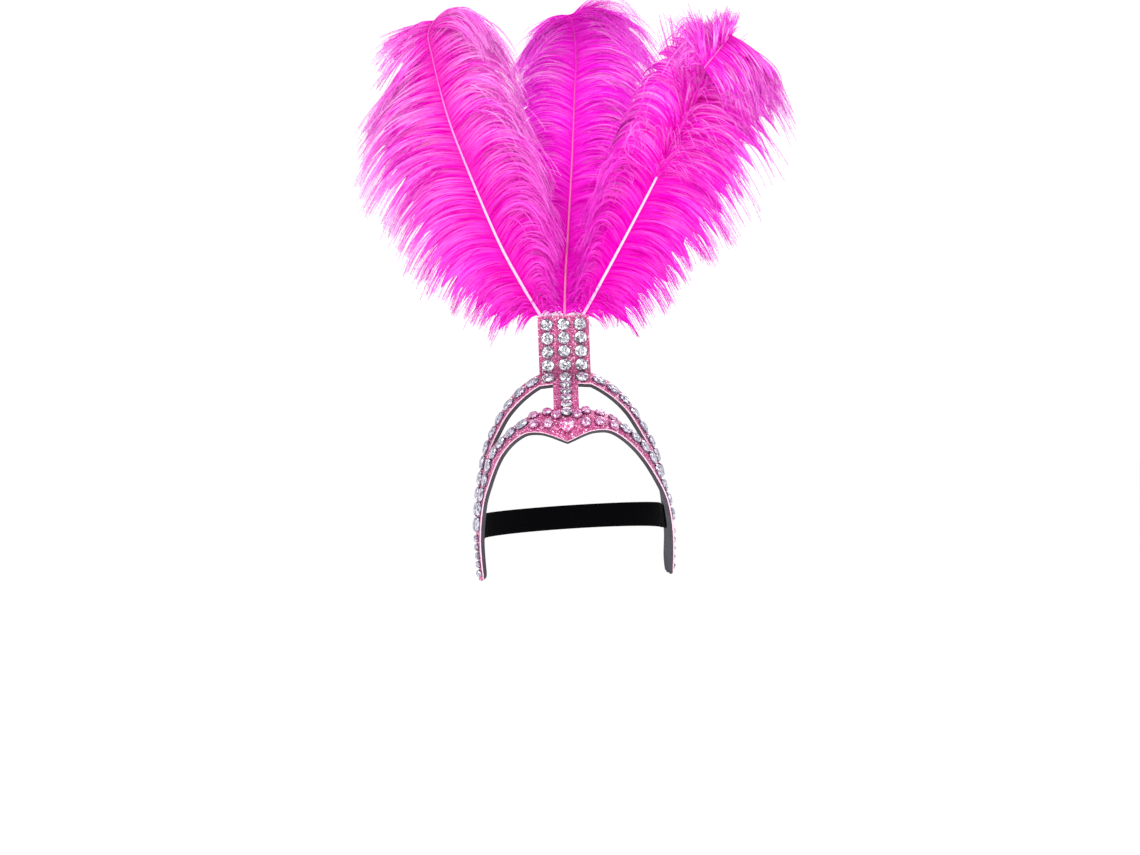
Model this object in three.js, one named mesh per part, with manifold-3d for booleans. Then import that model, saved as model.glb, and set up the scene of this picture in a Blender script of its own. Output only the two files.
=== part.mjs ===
// A carnival feather headdress: a foam crown with a glitter face and stones, three plumes, a strap.
// Millimetres, +Z up. The face looks along -Y, and +X is to the right as seen from the front.
// The origin is the middle of the brow band's inner face, where it rests on the forehead.
import * as THREE from "three";
import { mergeVertices } from "three/addons/utils/BufferGeometryUtils.js";
import Module from "manifold-3d";

const wasm = await Module();
wasm.setup();

const clearance = 0.3; // gap between pieces that touch
const sliver = 0.02; // finest detail kept where shapes are joined

// Crown
const foamThick = 3.4;
const sheetThick = 1.4;
const crownDepth = 100; // brow point to the rear edge of the arms
const crownRise = 70; // brow point up to the foot of the plate
const armDrop = 136; // brow point down to the arm tips
const stemWidth = 25;
const plateWidth = 51.5;
const plateHeight = 56.8;
const browBulge = 2.4; // how far the brow band swells between its edges
const leftSide = { sign: -1, reach: 98, flare: -5 }; // flare turns an arm's front edge outwards
const rightSide = { sign: 1, reach: 100, flare: 4 };

// Stones
const stoneRise = 4; // height of a stone above its flat back
const girdleRise = 1.2;
const tableShare = 0.57; // a stone's flat top against its girdle
const plateStone = 13.3;
const plateColumnPitch = 17;
const plateStoneMargin = 2; // from the plate's top edge to the first row
const stemStone = 11.6;
const stemStonePitch = 12;
const stemStoneStart = 3.7; // from the halo's inner edge down to the first stem stone's middle
const browStone = 10.6;
const heartWidth = 17;
const heartHeight = 17.5;
const ovalLength = 14.8;
const ovalWidth = 9.8;
const ovalPitch = 16;
const dotStone = 7.6;
const dotPitch = 9;
const sinkDepth = 0.35; // how deep a fused stone's rim sits in the sheet

// Plumes
const plumeRise = 300; // from the plate up to the top of the tallest shaft
const barbLength = 120;
const quillWidth = 3.4;
const quillRootDepth = 2.2; // the shaved end between the plate's layers
const quillRootLength = 24;
const pocketWall = 0.6; // foam left behind a quill root
const shaftSides = 5;
const shaftTip = 1.1; // shaft width at the plume's tip
const lockThick = 5;
const locksPerSide = 9;
const lockShare = 0.97; // a lock's greatest width as a share of the step between locks
const shaftGap = 1; // from the plate's top up to a shaft's foot
const rootLap = 2; // how far a quill root runs on into its shaft

// Glue and strap
const glueHeight = 3.2;
const glueEnd = 0.45; // a glue bead's height at its ends against its middle
const glueGap = 0.9; // between a glue bead and the quills beside it
const strapWidth = 25;
const strapThick = 1.3;
const strapRear = 96; // from the arms' rear edges back to the strap's rearmost point
const strapEase = 0.4; // extra room where a tab lies on the curved inner face
const strapTab = [0.3, 0.65, 1]; // shares of the arm's width that each tab lies along, front to rear
const strapLevel = { left: -82, right: -77 }; // height of the strap's middle at each arm

// Edges of the crown at matching stations from the middle (first row) to an arm tip (last row).
// Each entry is [out, back, up]: out is a share of the side's reach, back of crownDepth,
// up of crownRise where positive and of armDrop where negative.
// The stem and the plate end at the rows with half, and the halo meets the band at the last brow entry.
const stations = [
  { half: 0, front: [0, 0, 0.02], brow: [0, 0.27, 0.47], inner: [0, 0.645, 0.84], outer: [0, 0.8, 1] },
  {
    half: stemWidth / 2,
    front: [0, 0.013, 0.1],
    brow: [0, 0.27, 0.47],
    inner: [0, 0.645, 0.84],
    outer: [0, 0.8, 1],
  },
  {
    half: plateWidth / 2,
    front: [0, 0.042, 0.16],
    brow: [0, 0.29, 0.436],
    inner: [0, 0.645, 0.825],
    outer: [0, 0.8, 0.985],
  },
  {
    front: [0.41, 0.1, 0.158],
    brow: [0.41, 0.33, 0.367],
    inner: [0.445, 0.65, 0.657],
    outer: [0.48, 0.825, 0.8],
  },
  {
    front: [0.54, 0.195, 0.06],
    brow: [0.568, 0.42, 0.224],
    inner: [0.6, 0.65, 0.443],
    outer: [0.64, 0.845, 0.54],
  },
  {
    front: [0.665, 0.3, -0.055],
    brow: [0.695, 0.53, 0.071],
    inner: [0.71, 0.65, 0.2],
    outer: [0.755, 0.85, 0.26],
  },
  { front: [0.76, 0.41, -0.154], brow: [0.815, 0.66, -0.044], outer: [0.85, 0.865, -0.015] },
  { front: [0.845, 0.51, -0.27], outer: [0.915, 0.905, -0.19] },
  { front: [0.925, 0.62, -0.405], outer: [0.955, 0.935, -0.38] },
  { front: [0.968, 0.7, -0.545], outer: [0.975, 0.96, -0.54] },
  { front: [0.99, 0.79, -0.7], outer: [0.985, 0.985, -0.7] },
  { front: [0.99, 0.86, -0.85], outer: [0.97, 1, -0.86] },
  { front: [0.98, 0.915, -0.965], outer: [0.97, 0.985, -0.965] },
  { front: [0.975, 0.935, -1], outer: [0.97, 0.962, -1] },
];
const stepsPerStation = 2;
const plateRow = stations.findLastIndex((row) => row.half !== undefined);
const stemRow = plateRow - 1;
const joinRow = stations.findLastIndex((row) => row.brow);
const tipRow = stations.length - 1;
const column = { front: 0, swell: 1, brow: 2, inner: 3, outer: 4, top: 5 };

// Small round stones on the brow band: station along it and share of the way from front to brow edge.
const browStones = [
  { name: "left_1", side: -1, at: 0.82, across: 0.7 },
  { name: "left_2", side: -1, at: 1.47, across: 0.87 },
  { name: "left_3", side: -1, at: 2.42, across: 0.84 },
  { name: "left_4", side: -1, at: 1.42, across: 0.34 },
  { name: "left_5", side: -1, at: 2.36, across: 0.33 },
  { name: "right_1", side: 1, at: 0.82, across: 0.7 },
  { name: "right_2", side: 1, at: 1.47, across: 0.87 },
  { name: "right_3", side: 1, at: 2.42, across: 0.84 },
  { name: "right_4", side: 1, at: 1.42, across: 0.34 },
  { name: "right_5", side: 1, at: 2.36, across: 0.33 },
  { name: "right_6", side: 1, at: 3.2, across: 0.78 },
  { name: "right_7", side: 1, at: 3.22, across: 0.26 },
];
const haloStoneSeat = 0.44; // share of the halo's width where the row below the plate sits
const heartSeat = 0.36; // share of the band's height where the heart's middle sits

// Rows of stones fused to the sheet: the strip they follow, its stations and the place across it.
const stoneRows = [
  { side: -1, strip: "halo", from: 2.38, to: 9.4, stone: "oval" },
  { side: 1, strip: "halo", from: 2.38, to: 9.4, stone: "oval" },
  { side: -1, strip: "band", from: 3.15, to: 9.3, stone: "oval" },
  { side: 1, strip: "band", from: 3.95, to: 9.3, stone: "oval" },
  { side: -1, strip: "arm", from: 9.92, to: 12.3, stone: "dot" },
  { side: 1, strip: "arm", from: 9.92, to: 12.3, stone: "dot" },
];

// Plumes: foot is the quill's place from the plate's middle, a share of the plate's width.
// spread, sweep and rise are shares of plumeRise, barb a share of barbLength.
// path rows are [out, back, up] shares of spread, sweep and rise, from the plate's top to the tip.
// left and right are lock lengths, shares of barb, at even steps from the foot to the tip.
// leftTurn is how far the left locks turn from the shaft, shares of barbAngle at the same steps.
// over has the places of locks that fall over the shaft's front, as shares of its length, and tuft
// the places of locks that stand up, each with its lean to the right per unit of rise.
const plumes = [
  {
    name: "plume_left",
    foot: -0.437,
    spread: 0.34,
    sweep: 0.1,
    rise: 1,
    barb: 1,
    cup: 0.2,
    path: [
      [0, 0, 0],
      [-0.17, 0.05, 0.105],
      [-0.36, 0.1, 0.235],
      [-0.63, 0.12, 0.47],
      [-0.84, 0, 0.68],
      [-0.96, -0.25, 0.87],
      [-0.99, -0.5, 0.95],
      [-0.92, -0.8, 0.985],
    ],
    left: [0.42, 0.62, 0.88, 1, 0.94, 0.82, 0.66, 0.45],
    right: [0.22, 0.5, 0.78, 0.9, 0.92, 0.95, 0.95, 0.8],
    leftTurn: [1, 1, 1, 1, 1, 1.06, 1.3, 1.75],
    over: [],
    tuft: [],
  },
  {
    name: "plume_middle",
    foot: 0.031,
    spread: 0.073,
    sweep: -0.113,
    rise: 0.987,
    barb: 0.85,
    cup: -0.2,
    path: [
      [0, 0, 0],
      [0.13, -0.35, 0.15],
      [0.3, -0.62, 0.28],
      [0.62, -0.95, 0.53],
      [0.85, -1, 0.75],
      [1, -0.7, 0.9],
      [0.9, -0.1, 0.985],
      [0.7, 0.7, 1],
    ],
    left: [0.3, 0.48, 0.66, 0.78, 0.82, 0.84, 0.76, 0.62],
    right: [0.3, 0.5, 0.7, 0.84, 0.92, 0.98, 0.9, 0.72],
    leftTurn: [1, 1],
    over: [],
    tuft: [],
  },
  {
    name: "plume_right",
    foot: 0.402,
    spread: 0.517,
    sweep: 0.113,
    rise: 0.9,
    barb: 0.98,
    cup: 0.2,
    path: [
      [0, 0, 0],
      [0.1, 0.05, 0.095],
      [0.31, 0.1, 0.3],
      [0.5, 0.05, 0.49],
      [0.7, -0.2, 0.7],
      [0.88, -0.7, 0.88],
      [0.99, -1.5, 0.98],
      [0.93, -2.3, 0.93],
      [0.8, -2.7, 0.84],
    ],
    left: [0.22, 0.42, 0.66, 0.8, 0.84, 0.84, 0.8, 0.62],
    right: [0.44, 0.64, 0.82, 0.9, 0.94, 0.9, 0.78, 0.56],
    leftTurn: [1, 1],
    over: [0.65, 0.85],
    tuft: [
      { at: 0.75, lean: -0.5 },
      { at: 0.95, lean: 0.4 },
    ],
  },
];
const firstLock = 0.045; // share of the shaft that is bare above the plate
const barbAngle = 0.95; // between shaft and barbs at their root, radians
const barbDroop = 2.3; // pull of gravity on a barb's far end, against its own direction
const droopPower = 1.4; // how late along a barb the pull sets in
const barbBends = 8;
const overLean = 0.6; // how far the locks over the shaft lean out of the vane's face
const tuftLength = 0.42; // share of barbLength
const tuftWidth = 0.7; // share of the step between locks
const tuftDroop = 0.8;
const lockSections = [
  { at: 0, width: 0.72, thick: 0.9 },
  { at: 0.25, width: 0.86, thick: 1 },
  { at: 0.5, width: 0.97, thick: 0.8 },
  { at: 0.75, width: 0.86, thick: 0.5 },
  { at: 1, width: 0.16, thick: 0.14 },
];

const colours = {
  foam: 0x4a4850,
  glitter: 0xd94f92,
  stone: 0xd9d6e2,
  plume: 0xff1fd0,
  glue: 0xf3eef6,
  strap: 0x121214,
};

const vector = (x, y, z) => new THREE.Vector3(x, y, z);

function geometryOf(points, triangles) {
  const geometry = new THREE.BufferGeometry();
  geometry.setAttribute("position", new THREE.Float32BufferAttribute(points.flatMap((p) => p.toArray()), 3));
  geometry.setIndex(triangles.flat());
  return geometry;
}

function solidOf(geometry) {
  const merged = mergeVertices(geometry, 1e-4);
  return new wasm.Manifold(
    new wasm.Mesh({
      numProp: 3,
      vertProperties: merged.attributes.position.array,
      triVerts: new Uint32Array(merged.index.array),
    }),
  );
}

function geometryFrom(solid) {
  const mesh = solid.getMesh();
  const geometry = new THREE.BufferGeometry();
  geometry.setAttribute("position", new THREE.Float32BufferAttribute(mesh.vertProperties, 3));
  geometry.setIndex(new THREE.Uint32BufferAttribute(mesh.triVerts, 1));
  return geometry;
}

// One solid of all the shapes, without the crumbs that joining can leave.
function join(geometries) {
  const joined = geometries.map(solidOf).reduce((all, next) => all.add(next)).simplify(sliver);
  const larger = (one, other) => (other.volume() > one.volume() ? other : one);
  return geometryFrom(joined.decompose().reduce(larger));
}

// A closed skin over rings of equal length, each running the same way round, capped flat at both ends.
function loft(rings) {
  const size = rings[0].length;
  const triangles = [];
  for (let r = 0; r + 1 < rings.length; r++)
    for (let k = 0; k < size; k++) {
      const [a, b] = [r * size + k, r * size + ((k + 1) % size)];
      triangles.push([a, b, b + size], [a, b + size, a + size]);
    }
  const last = (rings.length - 1) * size;
  for (let k = 1; k + 1 < size; k++) {
    triangles.push([0, k + 1, k]);
    triangles.push([last, last + k, last + k + 1]);
  }
  return geometryOf(rings.flat(), facingOut(rings.flat(), triangles));
}

function facingOut(points, triangles) {
  const volumes = triangles.map(([a, b, c]) => points[a].dot(points[b].clone().cross(points[c])));
  const turned = volumes.reduce((sum, volume) => sum + volume, 0) < 0;
  return turned ? triangles.map(([a, b, c]) => [a, c, b]) : triangles;
}

// A point on a run of stations: straight up to the given row, then a smooth curve through the rest.
function along(points, at, straight) {
  const k = Math.min(Math.floor(at), points.length - 2);
  const [b, c] = [points[k], points[k + 1]];
  if (k < straight) return b.clone().lerp(c, at - k);
  const a = points[k - 1] ?? b.clone().multiplyScalar(2).sub(c);
  const d = points[k + 2] ?? c.clone().multiplyScalar(2).sub(b);
  return new THREE.CatmullRomCurve3([a, b, c, d], false, "catmullrom").getPoint((1 + at - k) / 3);
}

function edgePoints(side, name) {
  const rows = stations.filter((row) => row[name]);
  return rows.map((row) => {
    const [out, back, up] = row[name];
    const x = row.half ?? out * side.reach;
    return vector(side.sign * x, back * crownDepth, up * (up > 0 ? crownRise : armDrop));
  });
}

const edges = new Map(
  [leftSide, rightSide].map((side) => [
    side,
    Object.fromEntries(["front", "brow", "inner", "outer"].map((name) => [name, edgePoints(side, name)])),
  ]),
);
for (const edge of edges.values()) edge.inner.push(edge.brow[joinRow]);

// The crown's outer face at one station: its points from the front edge to the plate's top.
function stationPoints(side, at) {
  const edge = edges.get(side);
  const front = along(edge.front, at, stemRow);
  front.x += side.sign * side.flare * THREE.MathUtils.smoothstep(at, plateRow + 2, joinRow + 3);
  const outer = along(edge.outer, at, plateRow);
  const onArm = at >= joinRow;
  const lost = THREE.MathUtils.smoothstep(at, joinRow, joinRow + 1.5);
  const joined = edge.brow[joinRow].clone().sub(edge.front[joinRow].clone().lerp(edge.outer[joinRow], 0.5));
  const middle = front.clone().lerp(outer, 0.5).addScaledVector(joined, 1 - lost);
  const brow = onArm ? middle : along(edge.brow, at, stemRow);
  const inner = onArm ? brow : along(edge.inner, at, plateRow);
  const swell = front.clone().lerp(brow, 0.5);
  const outwards = swell.clone().sub(vector(0, crownDepth * 0.7, -crownRise * 0.4)).normalize();
  swell.addScaledVector(outwards, browBulge * (1 - THREE.MathUtils.smoothstep(at, plateRow, joinRow + 1)));
  const top = outer.clone().setZ(crownRise + plateHeight);
  return [front, swell, brow, inner, outer, top];
}

const lastStep = tipRow * stepsPerStation;
const grid = [];
for (let step = -lastStep; step <= lastStep; step++)
  grid.push(stationPoints(step < 0 ? leftSide : rightSide, Math.abs(step) / stepsPerStation));

// Whether the crown has material in the cell between steps i, i + 1 and columns j, j + 1.
function filled(i, j) {
  const away = Math.max(Math.abs(i - lastStep), Math.abs(i + 1 - lastStep)) / stepsPerStation;
  if (j === column.brow) return away <= stemRow;
  if (j === column.outer) return away <= plateRow;
  return j >= column.front && j < column.outer;
}

// Below the join the halo's inner edge and the band's brow edge are one line.
const cornerId = (i, j) => {
  const away = Math.abs(i - lastStep) / stepsPerStation;
  return i * 6 + (j === column.inner && away >= joinRow ? column.brow : j);
};

function cellNormal(i, j) {
  const [a, b, c, d] = [grid[i][j], grid[i + 1][j], grid[i + 1][j + 1], grid[i][j + 1]];
  return c.clone().sub(a).cross(d.clone().sub(b)).normalize();
}

// Mitred offset directions: the mean of each strip's facets, then the mean of the strips that meet.
function offsetDirections() {
  const perCorner = new Map();
  for (let i = 0; i + 1 < grid.length; i++)
    for (let j = 0; j < column.top; j++) {
      if (!filled(i, j)) continue;
      const normal = cellNormal(i, j);
      for (const [p, q] of [[i, j], [i + 1, j], [i + 1, j + 1], [i, j + 1]]) {
        const strips = perCorner.get(cornerId(p, q)) ?? new Map();
        strips.set(j, (strips.get(j) ?? vector(0, 0, 0)).add(normal));
        perCorner.set(cornerId(p, q), strips);
      }
    }
  const directions = new Map();
  for (const [id, strips] of perCorner) {
    const normals = [...strips.values()].map((sum) => sum.normalize());
    const mean = normals.reduce((sum, n) => sum.add(n), vector(0, 0, 0)).normalize();
    const spread = normals.reduce((sum, n) => sum + n.dot(mean), 0) / normals.length;
    directions.set(id, mean.divideScalar(spread));
  }
  return directions;
}
const outwards = offsetDirections();

// One layer of the crown between two depths below its outer face.
function crownLayer(shallow, deep) {
  const ids = new Map();
  const points = [];
  const corner = (i, j, depth) => {
    const key = cornerId(i, j);
    if (!ids.has(key)) {
      ids.set(key, points.length);
      for (const inset of [shallow, deep])
        points.push(grid[i][j].clone().addScaledVector(outwards.get(key), -inset));
    }
    return ids.get(key) + depth;
  };
  const triangles = [];
  const borders = new Map();
  for (let i = 0; i + 1 < grid.length; i++)
    for (let j = 0; j < column.top; j++) {
      if (!filled(i, j)) continue;
      const quad = [[i, j], [i + 1, j], [i + 1, j + 1], [i, j + 1]];
      const [a, b, c, d] = quad.map(([p, q]) => corner(p, q, 0));
      const face = [a, b, c, d];
      triangles.push([a, b, c], [a, c, d], [a + 1, c + 1, b + 1], [a + 1, d + 1, c + 1]);
      face.forEach((from, k) => {
        const to = face[(k + 1) % 4];
        if (!borders.delete(`${to} ${from}`)) borders.set(`${from} ${to}`, [from, to]);
      });
    }
  for (const [from, to] of borders.values())
    triangles.push([from, from + 1, to + 1], [from, to + 1, to]);
  return geometryOf(points, triangles);
}

// Strips of the outer face that stones follow: the columns they run between, as places across them.
const strips = {
  band: [column.front, column.swell, column.brow],
  halo: [column.inner, column.outer],
  stem: [column.inner, column.brow],
  plate: [column.top, column.outer],
  arm: [column.front, column.outer],
};

function facePoint(strip, at, across) {
  const step = THREE.MathUtils.clamp(lastStep + at * stepsPerStation, 0, grid.length - 1.001);
  const i = Math.floor(step);
  const columns = strips[strip];
  const place = THREE.MathUtils.clamp(across, 0, 1) * (columns.length - 1);
  const j = Math.min(Math.floor(place), columns.length - 2);
  const edge = (row) => grid[row][columns[j]].clone().lerp(grid[row][columns[j + 1]], place - j);
  return edge(i).lerp(edge(i + 1), step - i);
}

// A stone's place on the face: its middle, the outward normal and the direction along the strip.
// rest is the highest that the face comes under the stone, and rim the lowest that it falls away.
function seat(strip, at, across, length, width) {
  const middle = facePoint(strip, at, across);
  const run = facePoint(strip, at + 0.05, across).sub(facePoint(strip, at - 0.05, across)).normalize();
  const rise = facePoint(strip, at, across + 0.05).sub(facePoint(strip, at, across - 0.05));
  const normal = run.clone().cross(rise).normalize();
  const nearest = cornerId(Math.round(lastStep + at * stepsPerStation), strips[strip][0]);
  if (normal.dot(outwards.get(nearest)) < 0) normal.negate();
  const stationLength = facePoint(strip, at + 0.5, across).distanceTo(facePoint(strip, at - 0.5, across));
  const stripWidth = facePoint(strip, at, 1).distanceTo(facePoint(strip, at, 0));
  const heights = [0];
  for (const reach of [0.25, 0.5])
    for (let k = 0; k < 12; k++) {
      const turn = (k * Math.PI) / 6;
      const nearAt = at + (Math.cos(turn) * reach * length) / stationLength;
      const nearAcross = across + (Math.sin(turn) * reach * width) / stripWidth;
      heights.push(facePoint(strip, nearAt, nearAcross).sub(middle).dot(normal));
    }
  return { middle, normal, run, rest: Math.max(...heights), rim: Math.min(...heights) };
}

// Places a shape whose flat back is at z = 0 so that it stands on a seat at the given height.
function placed(geometry, { middle, normal, run }, height) {
  const up = normal.clone().cross(run).normalize();
  const basis = new THREE.Matrix4().makeBasis(up.clone().cross(normal).normalize(), up, normal);
  basis.setPosition(middle.clone().addScaledVector(normal, height));
  return geometry.applyMatrix4(basis);
}

// A cut stone: flat back, girdle, slanted facets and a flat table turned half a step.
function cutStone(outline, corners, foot) {
  const ring = (height, scale, turn) =>
    Array.from({ length: corners }, (_, k) => {
      const [x, y] = outline((k + turn) / corners);
      return vector(x * scale, y * scale, height);
    });
  const rings = [ring(-foot, 1, 0), ring(girdleRise, 1, 0), ring(stoneRise, tableShare, 0.5)];
  return loft(rings);
}

const ellipse = (length, width) => (share) => {
  const turn = share * 2 * Math.PI;
  return [(Math.cos(turn) * length) / 2, (Math.sin(turn) * width) / 2];
};

const heart = (width, height) => (share) => {
  const turn = share * 2 * Math.PI;
  const waves = 13 * Math.cos(turn) - 5 * Math.cos(2 * turn) - 2 * Math.cos(3 * turn) - Math.cos(4 * turn);
  return [(-width / 2) * Math.sin(turn) ** 3, (height * (waves + 2.6)) / 29];
};

function roundStone(diameter) {
  return cutStone(ellipse(diameter, diameter), 10, 0);
}

const group = new THREE.Group();

function add(name, geometry, colour, roughness, metalness) {
  const material = new THREE.MeshStandardMaterial({ color: colour, roughness, metalness });
  const mesh = new THREE.Mesh(geometry, material);
  mesh.name = name;
  group.add(mesh);
}

const addStone = (name, geometry) => add(name, geometry, colours.stone, 0.12, 0.1);

function addStoneOn(name, strip, at, across, diameter) {
  const place = seat(strip, at, across, diameter, diameter);
  addStone(name, placed(roundStone(diameter), place, place.rest + clearance));
}

// Round stones in as many rows as the plate holds, and one more row below them on the halo.
function addPlateStones() {
  const room = plateHeight - plateStoneMargin - clearance;
  const rows = Math.floor(room / (plateStone + clearance));
  for (const columnIndex of [-1, 0, 1]) {
    const at = (columnIndex * plateColumnPitch * plateRow) / (plateWidth / 2);
    for (let row = 0; row < rows; row++) {
      const down = plateStoneMargin + plateStone / 2 + (row * room) / rows;
      addStoneOn(`plate_stone_${row + 1}_${columnIndex + 2}`, "plate", at, down / plateHeight, plateStone);
    }
    addStoneOn(`halo_stone_${columnIndex + 2}`, "halo", at, haloStoneSeat, plateStone);
  }
}

// Round stones down the stem, the last of them below it on the brow band.
function addStemStones() {
  const stemLength = facePoint("stem", 0, 0).distanceTo(facePoint("stem", 0, 1));
  const bandHeight = facePoint("band", 0, 0).distanceTo(facePoint("band", 0, 1));
  for (let n = 0; n < 5; n++) {
    const down = stemStoneStart + n * stemStonePitch;
    const name = `stem_stone_${n + 1}`;
    if (down < stemLength) addStoneOn(name, "stem", 0, down / stemLength, stemStone);
    else addStoneOn(name, "band", 0, 1 - (down - stemLength) / bandHeight, stemStone);
  }
}

function addBrowStones() {
  const place = seat("band", 0, heartSeat, heartWidth, heartHeight);
  const shape = cutStone(heart(heartWidth, heartHeight), 14, 0);
  addStone("brow_heart", placed(shape, place, place.rest + clearance));
  for (const { name, side, at, across } of browStones)
    addStoneOn(`brow_stone_${name}`, "band", side * at, across, browStone);
}

// The glitter sheet with its rows of stones, each sunk a little into it.
function glitterSheet() {
  const pieces = [crownLayer(0, sheetThick)];
  for (const { side, strip, from, to, stone } of stoneRows) {
    const isOval = stone === "oval";
    const [length, width] = isOval ? [ovalLength, ovalWidth] : [dotStone, dotStone];
    const corners = isOval ? 8 : 6;
    const pitch = isOval ? ovalPitch : dotPitch;
    let travelled = pitch;
    let last = facePoint(strip, side * from, 0.5);
    for (let at = from; at <= to; at += 0.01) {
      const here = facePoint(strip, side * at, 0.5);
      travelled += here.distanceTo(last);
      last = here;
      if (travelled < pitch) continue;
      travelled -= pitch;
      const place = seat(strip, side * at, 0.5, length, width);
      const foot = sinkDepth - place.rim;
      pieces.push(placed(cutStone(ellipse(length, width), corners, foot), place, 0));
    }
  }
  return join(pieces);
}

const plateTop = crownRise + plateHeight;
const plateFace = stations[plateRow].outer[1] * crownDepth;
const seamDepth = sheetThick + clearance;
const pocketDepth = foamThick - pocketWall;
const quillLine = plateFace + seamDepth + pocketDepth / 2;

// The quill root in the plate, grown by the given gap: a shaved strip running along the shaft.
function quillRoot(plume, path, gap) {
  const start = path.getPoint(0);
  const down = path.getTangent(0).setY(0).normalize().multiplyScalar(-quillRootLength);
  const sideways = vector(-down.z, 0, down.x).normalize().multiplyScalar(quillWidth / 2 + gap);
  const behind = vector(0, quillRootDepth / 2 + gap, 0);
  const before = vector(0, -quillRootDepth / 2 - 2 * gap, 0);
  const ring = (middle) => [
    middle.clone().sub(sideways).add(before),
    middle.clone().sub(sideways).add(behind),
    middle.clone().add(sideways).add(behind),
    middle.clone().add(sideways).add(before),
  ];
  const bottom = start.clone().add(down).addScaledVector(down.clone().normalize(), gap);
  const over = start.clone().addScaledVector(down.clone().normalize(), -rootLap);
  return loft([ring(bottom), ring(over)]);
}

const footOf = ({ foot }) => foot * plateWidth;

function shaftPath(design) {
  const { spread, sweep, rise, path } = design;
  const points = path.map(([out, back, up]) => {
    const shape = vector(out * spread, back * sweep, up * rise).multiplyScalar(plumeRise);
    return shape.add(vector(footOf(design), quillLine, plateTop + shaftGap));
  });
  return new THREE.CatmullRomCurve3(points, false, "centripetal");
}

// Frames along a shaft: its tangent, the vane's normal carried along without twist, and its side.
function shaftFrames(path, count) {
  const frames = [];
  let normal = vector(0, -1, 0);
  for (let k = 0; k <= count; k++) {
    const tangent = path.getTangentAt(k / count);
    normal = normal.clone().addScaledVector(tangent, -normal.dot(tangent)).normalize();
    const side = tangent.clone().cross(normal);
    frames.push({ point: path.getPointAt(k / count), tangent, normal, side });
  }
  return frames;
}

function shaft(frames) {
  const rings = frames.map(({ point, normal, side }, k) => {
    const radius = THREE.MathUtils.lerp(quillWidth, shaftTip, k / (frames.length - 1)) / 2;
    return Array.from({ length: shaftSides }, (_, n) => {
      const turn = (n * 2 * Math.PI) / shaftSides;
      const corner = point.clone().addScaledVector(side, Math.cos(turn) * radius);
      return corner.addScaledVector(normal, -Math.sin(turn) * radius);
    });
  });
  return loft(rings);
}

const sampled = (values, share) => {
  const place = share * (values.length - 1);
  const k = Math.min(Math.floor(place), values.length - 2);
  return THREE.MathUtils.lerp(values[k], values[k + 1], place - k);
};

// The way a lock sets off: turned from the shaft towards its side, leaning out of the vane's face.
function heading({ tangent, normal, side }, turn, lean) {
  const start = tangent.clone().multiplyScalar(Math.cos(barbAngle * Math.abs(turn)));
  start.addScaledVector(side, Math.sin(barbAngle * turn));
  return start.addScaledVector(normal, lean);
}

// One lock of barbs: it sets off from the shaft, bends over under its weight and tapers.
function lock({ point, normal }, start, length, width, cup, droop) {
  const middle = point.clone();
  const spine = [{ middle: middle.clone(), way: start.clone() }];
  for (let k = 1; k <= barbBends; k++) {
    const pull = (k / barbBends) ** droopPower;
    const way = start.clone().addScaledVector(normal, cup * pull);
    way.z -= droop * pull;
    way.normalize();
    middle.addScaledVector(way, length / barbBends);
    spine.push({ middle: middle.clone(), way });
  }
  const rings = lockSections.map(({ at, width: wide, thick }) => {
    const { middle: centre, way } = spine[Math.round(at * barbBends)];
    const across = way.clone().cross(normal).normalize().multiplyScalar((wide * width) / 2);
    const through = across.clone().cross(way).normalize().multiplyScalar((thick * lockThick) / 2);
    return [
      centre.clone().add(across),
      centre.clone().add(through),
      centre.clone().sub(across),
      centre.clone().sub(through),
    ];
  });
  return loft(rings);
}

function plume(design) {
  const path = shaftPath(design);
  const count = 2 * locksPerSide;
  const frames = shaftFrames(path, count);
  const pitch = path.getLength() / locksPerSide;
  const pieces = [shaft(frames), quillRoot(design, path, 0)];
  for (let k = 0; k < locksPerSide; k++)
    for (const hand of [-1, 1]) {
      const share = firstLock + ((1 - firstLock) * k) / (locksPerSide - 1);
      const frame = frames[Math.round(share * count)];
      const turn = hand < 0 ? -sampled(design.leftTurn, share) : 1;
      const length = barbLength * design.barb * sampled(hand < 0 ? design.left : design.right, share);
      pieces.push(lock(frame, heading(frame, turn, 0), length, pitch * lockShare, design.cup, barbDroop));
    }
  for (const at of design.over) {
    const frame = frames[Math.round(at * count)];
    const start = heading(frame, 1, overLean).addScaledVector(frame.side, -Math.sin(barbAngle));
    const length = barbLength * design.barb * sampled(design.left, at);
    pieces.push(lock(frame, start, length, pitch * lockShare, design.cup, barbDroop));
  }
  for (const { at, lean } of design.tuft) {
    const frame = frames[Math.round(at * count)];
    const start = vector(lean, 0, 1);
    pieces.push(lock(frame, start, barbLength * tuftLength, pitch * tuftWidth, 0, tuftDroop));
  }
  return join(pieces);
}

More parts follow.
